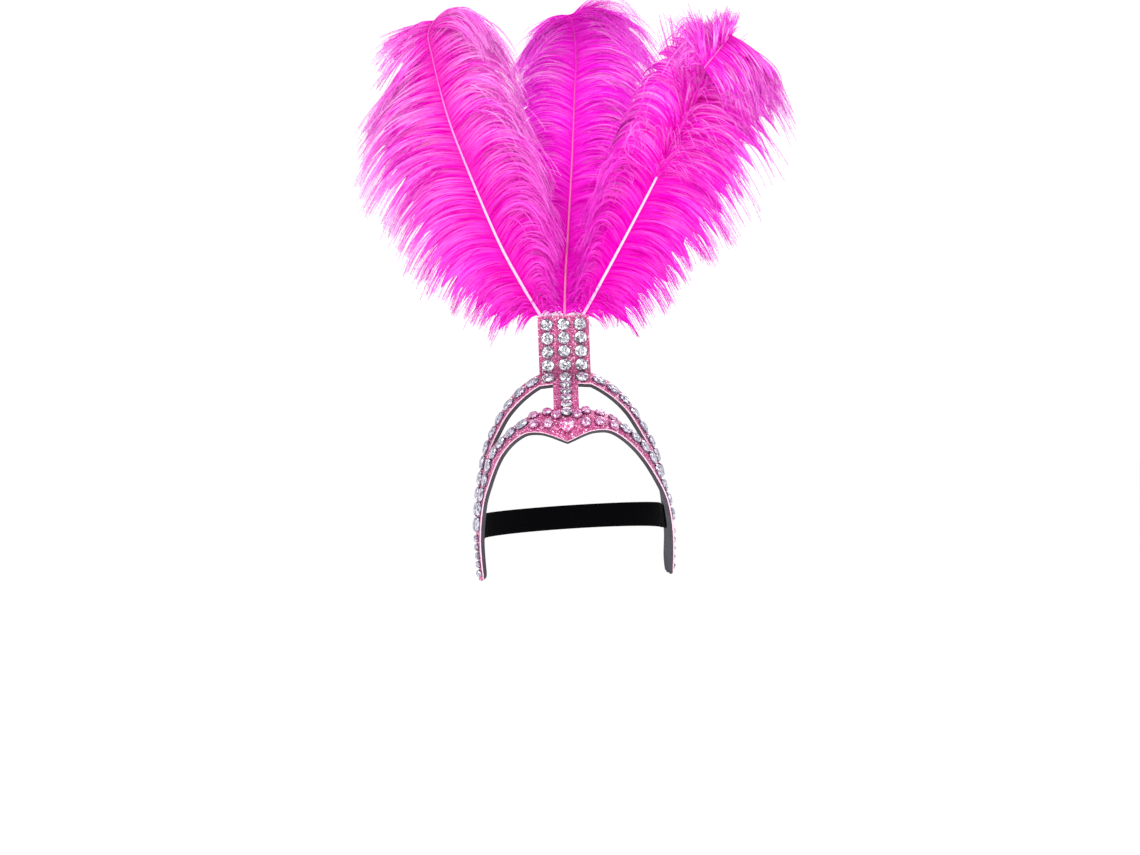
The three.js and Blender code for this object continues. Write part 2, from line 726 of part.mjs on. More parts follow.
// The strap: a tab on each arm's inner face and a plain half oval between them round the back.
function strap() {
  const inset = seamDepth + foamThick + clearance + strapThick / 2;
  const tab = (side, level) => {
    const at = side.sign * armStation(side, level);
    return strapTab.map((across) => {
      const { middle, normal, run } = seat("arm", at, across, 1, 1);
      const rise = run.multiplyScalar(Math.sign(run.z));
      return { point: middle.addScaledVector(normal, -inset - strapEase), rise };
    });
  };
  const [left, right] = [tab(leftSide, strapLevel.left), tab(rightSide, strapLevel.right)];
  const [from, to] = [left.at(-1), right.at(-1)];
  const centre = from.point.clone().lerp(to.point, 0.5);
  const arm = to.point.clone().sub(centre);
  const turns = 24;
  const arc = Array.from({ length: turns - 1 }, (_, k) => {
    const turn = ((k + 1) / turns) * Math.PI;
    const point = centre.clone().addScaledVector(arm, -Math.cos(turn));
    point.y += strapRear * Math.sin(turn);
    return { point, rise: vector(0, 0, 1) };
  });
  const path = [...left, ...arc, ...right.reverse()];
  const rings = path.map(({ point, rise }, k) => {
    const before = path[Math.max(k - 1, 0)].point;
    const after = path[Math.min(k + 1, path.length - 1)].point;
    const across = after.clone().sub(before).cross(rise).normalize().multiplyScalar(strapThick / 2);
    const half = rise.clone().multiplyScalar(strapWidth / 2);
    return [
      point.clone().sub(across).sub(half),
      point.clone().add(across).sub(half),
      point.clone().add(across).add(half),
      point.clone().sub(across).add(half),
    ];
  });
  return loft(rings);
}

// The station where an arm's middle reaches a given height.
function armStation(side, level) {
  let at = joinRow;
  while (at < tipRow && facePoint("arm", side.sign * at, 0.5).z > level) at += 0.02;
  return at;
}

// A glue run between two quills: a low rounded bead along the plate's top edge.
function glueBead(from, to) {
  const width = foamThick;
  const [start, end] = [from + quillWidth / 2 + glueGap, to - quillWidth / 2 - glueGap];
  const rings = [0, 0.12, 0.35, 0.65, 0.88, 1].map((share) => {
    const swell = THREE.MathUtils.lerp(glueEnd, 1, Math.sin(share * Math.PI));
    const x = THREE.MathUtils.lerp(start, end, share);
    return Array.from({ length: 7 }, (_, k) => {
      const turn = (k / 6) * Math.PI;
      const y = plateFace + seamDepth + width / 2 - (Math.cos(turn) * width * swell) / 2;
      return vector(x, y, plateTop + clearance + Math.sin(turn) * glueHeight * swell);
    });
  });
  return loft(rings);
}

const paths = plumes.map(shaftPath);
const pockets = plumes.map((design, n) => solidOf(quillRoot(design, paths[n], clearance)));
const foam = pockets.reduce(
  (body, pocket) => body.subtract(pocket),
  solidOf(crownLayer(seamDepth, seamDepth + foamThick)),
);

add("foam_backing", geometryFrom(foam), colours.foam, 0.9, 0);
add("glitter_sheet", glitterSheet(), colours.glitter, 0.55, 0.2);
addPlateStones();
addStemStones();
addBrowStones();
for (const design of plumes) add(design.name, plume(design), colours.plume, 0.85, 0);
const feet = plumes.map(footOf);
add("glue_bead_left", glueBead(feet[0], feet[1]), colours.glue, 0.3, 0);
add("glue_bead_right", glueBead(feet[1], feet[2]), colours.glue, 0.3, 0);
add("elastic_strap", strap(), colours.strap, 0.9, 0);

// The forehead seat becomes the origin.
const browFace = outwards.get(cornerId(lastStep, column.swell));
const forehead = grid[lastStep][column.swell].clone().addScaledVector(browFace, -(seamDepth + foamThick));
group.position.copy(forehead).negate();

export default group;
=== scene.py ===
import math

import bpy
import numpy as np
from mathutils import Matrix, Vector


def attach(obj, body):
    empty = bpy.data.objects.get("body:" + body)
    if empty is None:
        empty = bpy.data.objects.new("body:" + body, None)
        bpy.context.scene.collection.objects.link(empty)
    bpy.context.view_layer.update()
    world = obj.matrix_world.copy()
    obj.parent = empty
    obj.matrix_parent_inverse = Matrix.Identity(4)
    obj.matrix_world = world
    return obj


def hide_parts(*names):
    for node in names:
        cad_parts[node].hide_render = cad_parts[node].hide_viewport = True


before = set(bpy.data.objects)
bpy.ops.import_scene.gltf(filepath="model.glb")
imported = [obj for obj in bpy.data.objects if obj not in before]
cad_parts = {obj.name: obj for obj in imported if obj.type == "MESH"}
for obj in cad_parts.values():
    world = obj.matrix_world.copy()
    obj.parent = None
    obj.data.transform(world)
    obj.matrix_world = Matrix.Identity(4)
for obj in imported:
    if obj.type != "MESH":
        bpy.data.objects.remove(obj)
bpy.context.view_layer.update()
random = np.random.default_rng(11)

MM = 0.001
# Shapes are worked out in millimetres from the brow point's own frame, as in the part's source.
# SHIFT brings them into the model's frame, whose origin is the forehead seat.
SHIFT = np.array((0, -15.47, -15.244))

# The photograph's frame and where its camera stood.
PHOTO_WIDTH, PHOTO_HEIGHT = 1140, 855
BROW_POINT_PIXEL = (567.1, 442.5)
CAMERA_DISTANCE = 2000
PIXEL_AT_BROW = 0.964
CAMERA_ROLL = math.radians(2.2)
FLOOR_HEIGHT = -0.42
FLOOR_REACH = 14

# Sizes of the crown, the stones, the glue and the strap, as in the part's source. The oval stones alone
# are a little larger here.
CLEARANCE = 0.3
FOAM_THICK = 3.4
SHEET_THICK = 1.4
CROWN_DEPTH = 100
CROWN_RISE = 70
ARM_DROP = 136
STEM_WIDTH = 25
PLATE_WIDTH = 51.5
PLATE_HEIGHT = 56.8
BROW_BULGE = 2.4
SIDES = {-1: {"reach": 98, "flare": -5}, 1: {"reach": 100, "flare": 4}}
STONE_RISE = 4
GIRDLE_RISE = 1.2
PLATE_STONE = 13.3
PLATE_COLUMN_PITCH = 17
PLATE_STONE_MARGIN = 2
STEM_STONE = 11.6
STEM_STONE_PITCH = 12
STEM_STONE_START = 3.7
BROW_STONE = 10.6
HEART_WIDTH = 17
HEART_HEIGHT = 17.5
OVAL_LENGTH = 15.2
OVAL_WIDTH = 10.8
OVAL_PITCH = 16
DOT_STONE = 7.6
DOT_PITCH = 9
SINK_DEPTH = 0.35
HALO_STONE_SEAT = 0.44
HEART_SEAT = 0.36
PLUME_RISE = 300
BARB_LENGTH = 120
QUILL_WIDTH = 3.4
QUILL_ROOT_DEPTH = 2.2
QUILL_ROOT_LENGTH = 24
POCKET_WALL = 0.6
SHAFT_TIP = 1.1
GLUE_HEIGHT = 3.2
GLUE_GAP = 0.9
STRAP_WIDTH = 25
STRAP_THICK = 1.3
STRAP_REAR = 96
STRAP_EASE = 0.4
STRAP_TAB = (0.3, 1)
STRAP_LEVEL = {-1: -82, 1: -77}
SEAM_DEPTH = SHEET_THICK + CLEARANCE
PLATE_TOP = CROWN_RISE + PLATE_HEIGHT
PLATE_FACE = 0.8 * CROWN_DEPTH
QUILL_LINE = PLATE_FACE + SEAM_DEPTH + (FOAM_THICK - POCKET_WALL) / 2

# Edges of the crown at matching stations, from the middle to an arm tip. Each is given as [out, back, up]
# shares of reach, depth, and rise or drop. The first stations have half widths of their own.
HALF_WIDTHS = (0, STEM_WIDTH / 2, PLATE_WIDTH / 2)
EDGE_SHARES = {
    "front": [(0, 0, 0.02), (0, 0.013, 0.1), (0, 0.042, 0.16), (0.41, 0.1, 0.158), (0.54, 0.195, 0.06),
              (0.665, 0.3, -0.055), (0.76, 0.41, -0.154), (0.845, 0.51, -0.27), (0.925, 0.62, -0.405),
              (0.968, 0.7, -0.545), (0.99, 0.79, -0.7), (0.99, 0.86, -0.85), (0.98, 0.915, -0.965),
              (0.975, 0.935, -1)],
    "brow": [(0, 0.27, 0.47), (0, 0.27, 0.47), (0, 0.29, 0.436), (0.41, 0.33, 0.367), (0.568, 0.42, 0.224),
             (0.695, 0.53, 0.071), (0.815, 0.66, -0.044)],
    "inner": [(0, 0.645, 0.84), (0, 0.645, 0.84), (0, 0.645, 0.825), (0.445, 0.65, 0.657), (0.6, 0.65, 0.443),
              (0.71, 0.65, 0.2)],
    "outer": [(0, 0.8, 1), (0, 0.8, 1), (0, 0.8, 0.985), (0.48, 0.825, 0.8), (0.64, 0.845, 0.54),
              (0.755, 0.85, 0.26), (0.85, 0.865, -0.015), (0.915, 0.905, -0.19), (0.955, 0.935, -0.38),
              (0.975, 0.96, -0.54), (0.985, 0.985, -0.7), (0.97, 1, -0.86), (0.97, 0.985, -0.965),
              (0.97, 0.962, -1)],
}
PLATE_ROW = 2
STEM_ROW = 1
JOIN_ROW = 6
TIP_ROW = 13
STEPS = 8  # steps between two stations
FRONT, SWELL, BROW, INNER, OUTER, TOP = range(6)

BROW_STONES = [
    (-1, 0.82, 0.7), (-1, 1.47, 0.87), (-1, 2.42, 0.84), (-1, 1.42, 0.34), (-1, 2.36, 0.33),
    (1, 0.82, 0.7), (1, 1.47, 0.87), (1, 2.42, 0.84), (1, 1.42, 0.34), (1, 2.36, 0.33),
    (1, 3.2, 0.78), (1, 3.22, 0.26),
]  # side, station along the band, share of the way from front to brow edge
BROW_STONE_NAMES = [f"brow_stone_{side}_{n}" for side, count in (("left", 5), ("right", 7))
                    for n in range(1, count + 1)]
STONE_ROWS = [
    (-1, "halo", 2.38, 9.4, "oval"), (1, "halo", 2.38, 9.4, "oval"),
    (-1, "band", 3.15, 9.3, "oval"), (1, "band", 3.95, 9.3, "oval"),
    (-1, "arm", 9.92, 12.3, "dot"), (1, "arm", 9.92, 12.3, "dot"),
]  # side, strip, first and last station, stone
ROW_STONES = {
    "oval": (OVAL_LENGTH, OVAL_WIDTH, OVAL_PITCH, 12), "dot": (DOT_STONE, DOT_STONE, DOT_PITCH, 10),
}  # length, width, pitch, corners
ROW_STEP = 0.01
CUT_RINGS = [(-1, 1.0), (GIRDLE_RISE * 0.75, 1.0), (2.4, 0.95), (3.35, 0.82), (STONE_RISE, 0.6)]
TABLE_DIP = 0.4

# Roughness, then the painted reflection colours of the facets, from the darkest to the brightest.
STONE_LOOKS = {
    "silver_stone": (0.04, (44, 42, 52), (140, 138, 150), (222, 220, 230), (255, 255, 255)),
    "lilac_stone": (0.2, (70, 60, 80), (144, 138, 158), (196, 192, 208), (222, 220, 230)),
    "rosy_stone": (0.12, (110, 34, 84), (190, 112, 164), (222, 186, 214), (240, 222, 238)),
    "heart_stone": (0.06, (170, 30, 112), (226, 92, 168), (246, 186, 224), (255, 255, 255)),
}

# Plumes. The foot is a share of the plate's width, and spread, sweep and rise are shares of PLUME_RISE.
# The path holds [out, back, up] shares of those three. Barb is the plume's share of BARB_LENGTH, and cup is
# how far its barbs curl to the front. Pale sets how many strands get a painted highlight, more on the better
# lit plumes, and violet brightens the dye towards violet for a plume in shade: painted light. Quill gives the
# quill's nicks, then its colours at the foot, in the nicks and far up, and stout is its width in the scene.
# Rows of numbers for a vane run along the shaft: shares of its barbs' length, angle and droop.
# Pairs are for the left and the right vane: shares of barbs that fall over the shaft or stand up in a tuft,
# where the closed part begins to shorten and to what share, and how far the tip's barbs lean.
PLUMES = {
    "plume_left": {
        "foot": -0.437, "spread": 0.34, "sweep": 0.1, "rise": 1, "barb": 1, "cup": 0.2,
        "pale": 1, "violet": 0,
        "quill": ("quill_pale", 0.2, (250, 190, 230), (232, 120, 196), (204, 84, 176)), "stout": 0.95,
        "over": (0, 0), "tuft": (0, 0), "web_from": (0.7, 0.7), "web_tip": (0.8, 0.45), "crest": (0, 0),
        "path": [(0, 0, 0), (-0.17, 0.05, 0.105), (-0.36, 0.1, 0.235), (-0.63, 0.12, 0.47), (-0.84, 0, 0.68),
                 (-0.96, -0.25, 0.87), (-0.99, -0.5, 0.95), (-0.92, -0.8, 0.985)],
        "left_length": [0.42, 0.6, 0.82, 0.92, 0.94, 0.94, 0.8, 0.45],
        "right_length": [0.22, 0.5, 0.78, 0.9, 0.92, 0.95, 0.95, 0.7],
        "left_angle": [1, 1, 1, 1, 1.08, 1.35, 1.9, 2.6],
        "left_droop": [1, 1, 1, 1, 0.95, 0.72, 0.5, 0.22],
    },
    "plume_middle": {
        "foot": 0.031, "spread": 0.073, "sweep": -0.113, "rise": 0.987, "barb": 0.85, "cup": -0.2,
        "pale": 0.75, "violet": 0.45,
        "quill": ("quill_salmon", 0.4, (232, 120, 172), (196, 64, 124), (206, 60, 164)), "stout": 0.75,
        "over": (0, 0), "tuft": (0, 0), "web_from": (0.7, 0.7), "web_tip": (0.85, 0.85), "crest": (0, 0.14),
        "path": [(0, 0, 0), (0.13, -0.35, 0.15), (0.3, -0.62, 0.28), (0.62, -0.95, 0.53), (0.85, -1, 0.75),
                 (1, -0.7, 0.9), (0.9, -0.1, 0.985), (0.7, 0.7, 1)],
        "left_length": [0.3, 0.48, 0.66, 0.78, 0.82, 0.84, 0.72, 0.5],
        "right_length": [0.3, 0.5, 0.7, 0.84, 0.92, 1.02, 1.04, 0.85],
        "left_angle": [1, 1, 1, 1, 1, 1.03, 1.25, 1.6],
        "right_angle": [1, 1, 1, 1, 1, 1, 1.05, 1.2],
        "left_droop": [1, 1, 1, 1, 1, 0.95, 0.8, 0.65],
        "right_droop": [1, 1, 1, 1, 1, 1, 0.9, 0.75],
    },
    "plume_right": {
        "foot": 0.402, "spread": 0.517, "sweep": 0.113, "rise": 0.9, "barb": 0.98, "cup": 0.2,
        "pale": 0.78, "violet": 0.12,
        "quill": ("quill_nicked", 1.0, (250, 204, 234), (190, 56, 146), (220, 120, 196)), "stout": 0.9,
        "over": (0.6, 0.35), "tuft": (0.8, 0.2), "crest": (0, 0),
        "web_from": (0.5, 0.8), "web_tip": (0.2, 0.2),
        "path": [(0, 0, 0), (0.1, 0.05, 0.095), (0.31, 0.1, 0.3), (0.5, 0.05, 0.49), (0.7, -0.2, 0.7),
                 (0.88, -0.7, 0.88), (0.99, -1.5, 0.98), (0.93, -2.3, 0.93), (0.8, -2.7, 0.84)],
        "left_length": [0.22, 0.42, 0.66, 0.82, 0.92, 0.95, 0.7, 0.3],
        "right_length": [0.44, 0.62, 0.78, 0.88, 0.94, 0.94, 0.78, 0.5],
        "left_angle": [1, 1, 1, 1, 1, 1, 1.3, 1.6],
        "right_angle": [1, 1, 1, 1, 1, 1.1, 1.4, 1.7],
    },
}
HANDS = {-1: "left", 1: "right"}
BARB_ANGLE = 0.95
BARB_DROOP = 2.3
BARB_PITCH = 0.5  # along the quill
BARB_BENDS = 14
WAY = np.linspace(0, 1, BARB_BENDS + 1)  # shares of a barb's length at its bends
BARB_WIDTH = 1.05
BARBULES_PER_MM = 1.6
BARBULE_LENGTH = 2.6
BARBULE_WIDTH = 0.36
DOWN_BARBS = 70  # short ones round the foot of each vane
DOWN_LENGTH = (16, 34)
UNDER_SHARE = 0.15  # barbs that lie under the others
LOOSE_SHARE = 0.22  # barbs that don't cling to their clump
SWAY = 2.2
STRAY = 1.8
PLUME_FRONT = -20  # barbs that would come further forward than this are pressed back
TIP_BARBS = 110  # extra ones where the shaft curls over
WEB_ROWS = 220  # strands of the closed inner part of a vane
WEB_SPAN = (0.018, 0.985)  # part of the shaft it stands on
WEB_LEAN = 0.06
OVER = (0.4, 0.72)  # part of the shaft whose barbs may fall forward over it
TUFT = (0.52, 1)  # part of the shaft whose barbs may stand up in a tuft
TUFT_TOP = 414
TUFT_LENGTH = (22, 105)
SHAFT_STEPS = 240
QUILL_CORNERS = 12


def unit(v):
    return v / np.maximum(np.linalg.norm(v, axis=-1, keepdims=True), 1e-9)


def smoothstep(x, low, high):
    t = np.clip((np.asarray(x, float) - low) / (high - low), 0, 1)
    return t * t * (3 - 2 * t)


def lerp(a, b, t):
    return a + (b - a) * t


def distances(points):
    """How far along a line each of its points lies."""
    return np.concatenate([[0], np.cumsum(np.linalg.norm(np.diff(points, axis=0), axis=1))])


def between(x, low, high):
    return (x > low) & (x < high)


# Objects


def linked(name, data):
    made = bpy.data.objects.new(name, data)
    bpy.context.scene.collection.objects.link(made)
    return made


def unwrap(mesh, name, uv):
    layer = mesh.uv_layers.new(name=name)
    layer.data.foreach_set("uv", np.asarray(uv, np.float32).ravel())


def finished(name, mesh, materials, smooth):
    """A piece of the model that rides on the root body."""
    for m in materials:
        mesh.materials.append(m)
    mesh.polygons.foreach_set("use_smooth", np.full(len(mesh.polygons), smooth))
    piece = linked(name, mesh)
    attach(piece, "root")
    return piece


def solid(name, points, faces, materials, slots=None, smooth=False):
    mesh = bpy.data.meshes.new(name)
    mesh.from_pydata(((np.asarray(points) + SHIFT) * MM).tolist(), [], [list(map(int, f)) for f in faces])
    if slots is not None:
        mesh.polygons.foreach_set("material_index", np.asarray(slots, np.int32))
    mesh.update()
    return finished(name, mesh, materials, smooth)


def bevelled(piece, width, angle):
    bevel = piece.modifiers.new("rounding", "BEVEL")
    bevel.width = width * MM
    bevel.segments = 2
    bevel.limit_method = "ANGLE"
    bevel.angle_limit = math.radians(angle)


# Node graphs


class Graph:
    """The node graph of a material or of the world, built up a node at a time."""

    def __init__(self, owner, shader="Principled BSDF"):
        owner.use_nodes = True
        self.owner, self.tree = owner, owner.node_tree
        self.shader = self.tree.nodes[shader]

    def fill(self, socket, value):
        if isinstance(value, bpy.types.NodeSocket):
            self.tree.links.new(value, socket)
        else:
            socket.default_value = (*value, 1) if socket.type == "RGBA" else value

    def node(self, kind, inputs=None, **settings):
        made = self.tree.nodes.new("ShaderNode" + kind)
        for key, value in settings.items():
            setattr(made, key, value)
        for key, value in (inputs or {}).items():
            self.fill(made.inputs[key], value)
        return made

    def set(self, **values):
        for key, value in values.items():
            self.fill(self.shader.inputs[key.replace("_", " ")], value)

    def place(self, kind="Object"):
        return self.node("TexCoord").outputs[kind]

    def unwrap(self, name):
        return self.node("UVMap", uv_map=name).outputs["UV"]

    def noise(self, scale, detail, vector=None, **more):
        inputs = {"Vector": vector or self.place(), "Scale": scale, "Detail": detail, **more}
        return self.node("TexNoise", inputs).outputs["Fac"]

    def cells(self, scale):
        return self.node("TexVoronoi", {"Vector": self.place(), "Scale": scale})

    def ramp(self, factor, *stops):
        made = self.node("ValToRGB", {"Fac": factor})
        elements = made.color_ramp.elements
        while len(elements) < len(stops):
            elements.new(0.5)
        for element, (at, colour) in zip(elements, stops):
            element.position = at
            element.color = (*colour, 1)
        return made.outputs["Color"]

    def mix(self, factor, a, b, blend="MIX"):
        return self.node("Mix", {0: factor, 6: a, 7: b}, data_type="RGBA", blend_type=blend).outputs[2]

    def bump(self, height, strength, distance):
        made = self.node("Bump", {"Strength": strength, "Distance": distance, "Height": height})
        self.set(Normal=made.outputs["Normal"])


def surface(name):
    return Graph(bpy.data.materials.new(name))


def srgb(*values):
    """The linear colour of a screen colour in 0 to 255."""
    shares = [v / 255 for v in values]
    return tuple(v / 12.92 if v <= 0.04045 else ((v + 0.055) / 1.055) ** 2.4 for v in shares)


def grey(level):
    return (level, level, level)


def glitter_material():
    g = surface("pink_glitter")
    flakes, glint_cells = g.cells(1500.0), g.cells(900.0)
    flake, glint_cell = (g.node("SeparateColor", {"Color": cells.outputs["Color"]}) for cells in (flakes, glint_cells))
    # Each flake gets a random tone from deep to pale pink; the palest are partly painted glint.
    colour = g.ramp(flake.outputs[0], (0, srgb(84, 20, 56)), (0.25, srgb(146, 34, 92)),
                    (0.6, srgb(196, 62, 130)), (0.85, srgb(226, 112, 176)), (1, srgb(250, 196, 232)))
    shade = g.ramp(g.noise(60.0, 3.0), (0.3, (0.86, 0.84, 0.86)), (0.7, grey(1)))
    colour = g.mix(1.0, colour, shade, "MULTIPLY")
    # Painted glint: sparse cells turned near white, as flakes that catch the lamps.
    painted_glint = g.ramp(glint_cell.outputs[1], (0.93, grey(0)), (0.955, grey(1)))
    colour = g.mix(painted_glint, colour, srgb(255, 226, 240))
    # Painted shadow: a dark line along the plate's foot, where it bends up from the halo.
    painted_crease_shadow = g.node("Attribute", attribute_name="painted_crease_shadow")
    colour = g.mix(painted_crease_shadow.outputs["Fac"], colour, srgb(96, 22, 52))
    rough = g.node("MapRange", {"Value": flake.outputs[1], "To Min": 0.22, "To Max": 0.6})
    g.set(Base_Color=colour, Metallic=0.35, Roughness=rough.outputs["Result"], Specular_IOR_Level=0.6)
    g.bump(flakes.outputs["Distance"], 0.55, 0.0004)
    return g.owner


def cut_edge_material():
    g = surface("glitter_cut_edge")
    grain = g.noise(900.0, 3.0)
    g.set(Base_Color=g.ramp(grain, (0.3, srgb(206, 150, 176)), (0.7, srgb(246, 214, 228))), Roughness=0.75)
    g.bump(grain, 0.3, 0.0002)
    return g.owner


def foam_material():
    g = surface("dark_foam")
    pores = g.cells(1400.0).outputs["Distance"]
    colour = g.ramp(g.noise(45.0, 5.0), (0.3, srgb(38, 36, 43)), (0.7, srgb(62, 59, 68)))
    # Painted shade: each pore darkened as a pit the light doesn't reach.
    painted_pore_shade = g.ramp(pores, (0, grey(0.72)), (0.45, grey(1)))
    g.set(Base_Color=g.mix(1.0, colour, painted_pore_shade, "MULTIPLY"), Roughness=0.82)
    g.bump(pores, 0.35, 0.0002)
    return g.owner


def stone_material(name, rough, *colours):
    """Foil-backed acrylic: each of its faces gets a random painted reflection, dark to bright, under a glossy
    skin.
    """
    g = surface(name)
    facet_reflection = g.node("Attribute", attribute_name="facet_reflection")
    painted_reflections = g.ramp(facet_reflection.outputs["Fac"], *zip((0, 0.35, 0.7, 1), [srgb(*colour) for colour in colours]))
    haze = g.noise(300.0, 2.0)
    veil = g.ramp(haze, (0.35, (0.88, 0.88, 0.9)), (0.65, grey(1)))
    sheen = g.node("MapRange", {"Value": haze, "To Min": rough, "To Max": rough + 0.12})
    g.set(Base_Color=g.mix(1.0, painted_reflections, veil, "MULTIPLY"), Metallic=0.75, Roughness=sheen.outputs["Result"],
          Coat_Weight=0.9, Coat_Roughness=rough)
    return g.owner


def glue_material():
    g = surface("clear_glue")
    cloud = g.noise(220.0, 4.0)
    g.set(Base_Color=g.ramp(cloud, (0.3, srgb(228, 218, 228)), (0.7, srgb(252, 250, 252))), Roughness=0.16,
          Transmission_Weight=0.45, IOR=1.47)
    g.bump(cloud, 0.25, 0.0006)
    return g.owner


def strap_material():
    g = surface("black_elastic")
    weave = g.unwrap("weave")
    ribs = g.node("TexWave", {"Vector": weave, "Scale": 0.32, "Distortion": 0.15}, bands_direction="Y")
    picks = g.node("TexWave", {"Vector": weave, "Scale": 0.42, "Distortion": 0.4}, bands_direction="X")
    height = g.mix(0.45, ribs.outputs["Color"], picks.outputs["Color"])
    # Painted light and shade: the weave's high threads lighter, its grooves darker.
    colour = g.ramp(height, (0.1, srgb(1, 1, 2)), (0.9, srgb(10, 10, 12)))
    dust = g.ramp(g.noise(1.2, 5.0, weave), (0.35, grey(0.8)), (0.75, (1.3, 1.3, 1.35)))
    g.set(Base_Color=g.mix(1.0, colour, dust, "MULTIPLY"), Roughness=0.85, Specular_IOR_Level=0.02)
    g.bump(height, 0.6, 0.0005)
    return g.owner


def quill_material(name, nicks, pale, deep, far):
    """A quill with deeper nicks, pale at its foot and dyed towards the tip."""
    g = surface(name)
    uv = g.unwrap("OFBake")
    stretched = g.node("VectorMath", {0: uv, 1: (60.0, 3.0, 1.0)}, operation="MULTIPLY").outputs[0]
    streaks = g.noise(1.6, 6.0, stretched, Roughness=0.65)
    colour = g.ramp(streaks, (0.36 - nicks / 10, srgb(*deep)), (0.46, srgb(*pale)), (0.8, srgb(*pale)))
    split = g.node("SeparateXYZ", {"Vector": uv})
    reach = g.ramp(split.outputs["X"], (0.4, grey(0)), (0.8, grey(1)))
    g.set(Base_Color=g.mix(reach, colour, srgb(*far)), Roughness=0.42, Subsurface_Weight=0.15,
          Subsurface_Radius=(1.0, 0.4, 0.6), Subsurface_Scale=0.001)
    g.bump(streaks, 0.4, 0.0003)
    return g.owner


def barb_material(name, pale, violet):
    """Dyed ostrich barbs: deep at the quill, bright along the strand, with painted highlight on some strands
    and painted shade on others.
    """
    g = surface(name)
    uv = g.unwrap("OFBake")
    split = g.node("SeparateXYZ", {"Vector": uv})
    way, row = split.outputs["X"], split.outputs["Y"]
    along = g.ramp(way, (0, srgb(226, 0, 180)), (0.12, srgb(240, 6, 208)), (0.5, srgb(240, 44, 216)),
                   (0.8, srgb(218, 52, 200)), (1, srgb(184, 52, 170)))
    # Painted light: a plume in shade is brightened towards violet.
    along = g.mix(violet, along, srgb(255, 40, 255))
    rows = g.node("VectorMath", {0: uv, 1: (1.3, 150.0, 1.0)}, operation="MULTIPLY").outputs[0]
    strands = g.noise(1.0, 5.0, rows, Roughness=0.7)
    # Painted highlight: some strands turned pale, as if the lamps fall on them.
    painted_highlight_strands = g.ramp(strands, (0.6 - 0.18 * pale, grey(0)), (0.78 - 0.2 * pale, grey(1)))
    painted_highlight_strands = g.mix(1.0, painted_highlight_strands, g.ramp(way, (0, grey(0.1)), (0.4, grey(1))), "MULTIPLY")
    colour = g.mix(painted_highlight_strands, along, srgb(246, 172, 236))
    # Painted shade: other strands darkened, as if they lie in shade.
    painted_shade_strands = g.ramp(strands, (0.3, grey(0.7)), (0.46, grey(0)))
    colour = g.mix(painted_shade_strands, colour, g.ramp(way, (0.2, srgb(184, 0, 148)), (0.8, srgb(150, 60, 146))))
    low = g.ramp(row, (0, (0.94, 0.1, 0.82)), (0.3, (1, 0.4, 0.94)), (0.6, grey(1)))
    colour = g.mix(1.0, colour, low, "MULTIPLY")
    g.set(Base_Color=colour, Roughness=0.7, Specular_IOR_Level=0.0)
    g.bump(strands, 0.5, 0.0012)
    glow = g.node("BsdfTranslucent", {"Color": colour})
    blend = g.node("MixShader", {0: 0.36, 1: g.shader.outputs[0], 2: glow.outputs[0]})
    g.tree.links.new(blend.outputs[0], g.tree.nodes["Material Output"].inputs["Surface"])
    return g.owner


def floor_material():
    g = surface("pale_floor")
    pale = g.ramp(g.noise(40.0, 4.0), (0.3, grey(0.92)), (0.7, grey(0.95)))
    g.set(Base_Color=pale, Emission_Color=pale, Emission_Strength=0.16, Roughness=0.95,
          Specular_IOR_Level=0.0)
    return g.owner


# Crown


def along(points, at, straight):
    """A point on a run of stations: straight up to the given row, then a smooth curve."""
    k = min(int(at), len(points) - 2)
    t = at - k
    b, c = points[k], points[k + 1]
    if k < straight:
        return lerp(b, c, t)
    a = points[k - 1] if k > 0 else 2 * b - c
    d = points[k + 2] if k + 2 < len(points) else 2 * c - b
    return 0.5 * (2 * b + (c - a) * t + (2 * a - 5 * b + 4 * c - d) * t**2 + (3 * b - 3 * c + d - a) * t**3)


def edge_points(side, name):
    points = []
    for row, (out, back, up) in enumerate(EDGE_SHARES[name]):
        x = HALF_WIDTHS[row] if row < len(HALF_WIDTHS) else out * SIDES[side]["reach"]
        points.append(np.array((side * x, back * CROWN_DEPTH, up * (CROWN_RISE if up > 0 else ARM_DROP))))
    return points


EDGES = {side: {name: edge_points(side, name) for name in EDGE_SHARES} for side in (-1, 1)}
for edge in EDGES.values():
    edge["inner"].append(edge["brow"][JOIN_ROW])


def station_points(side, at):
    """The crown's outer face at one station: its points from the front edge to the plate's top."""
    edge = EDGES[side]
    front = along(edge["front"], at, STEM_ROW).copy()
    front[0] += side * SIDES[side]["flare"] * smoothstep(at, PLATE_ROW + 2, JOIN_ROW + 3)
    outer = along(edge["outer"], at, PLATE_ROW)
    lost = smoothstep(at, JOIN_ROW, JOIN_ROW + 1.5)
    joined = edge["brow"][JOIN_ROW] - (edge["front"][JOIN_ROW] + edge["outer"][JOIN_ROW]) / 2
    middle = (front + outer) / 2 + joined * (1 - lost)
    on_arm = at >= JOIN_ROW
    brow = middle if on_arm else along(edge["brow"], at, STEM_ROW)
    inner = brow if on_arm else along(edge["inner"], at, PLATE_ROW)
    swell = (front + brow) / 2
    outwards = unit(swell - np.array((0, CROWN_DEPTH * 0.7, -CROWN_RISE * 0.4)))
    swell = swell + outwards * BROW_BULGE * (1 - smoothstep(at, PLATE_ROW, JOIN_ROW + 1))
    top = np.array((outer[0], outer[1], PLATE_TOP))
    return np.array((front, swell, brow, inner, outer, top))


LAST = TIP_ROW * STEPS
GRID = np.array([station_points(-1 if k < 0 else 1, abs(k) / STEPS) for k in range(-LAST, LAST + 1)])


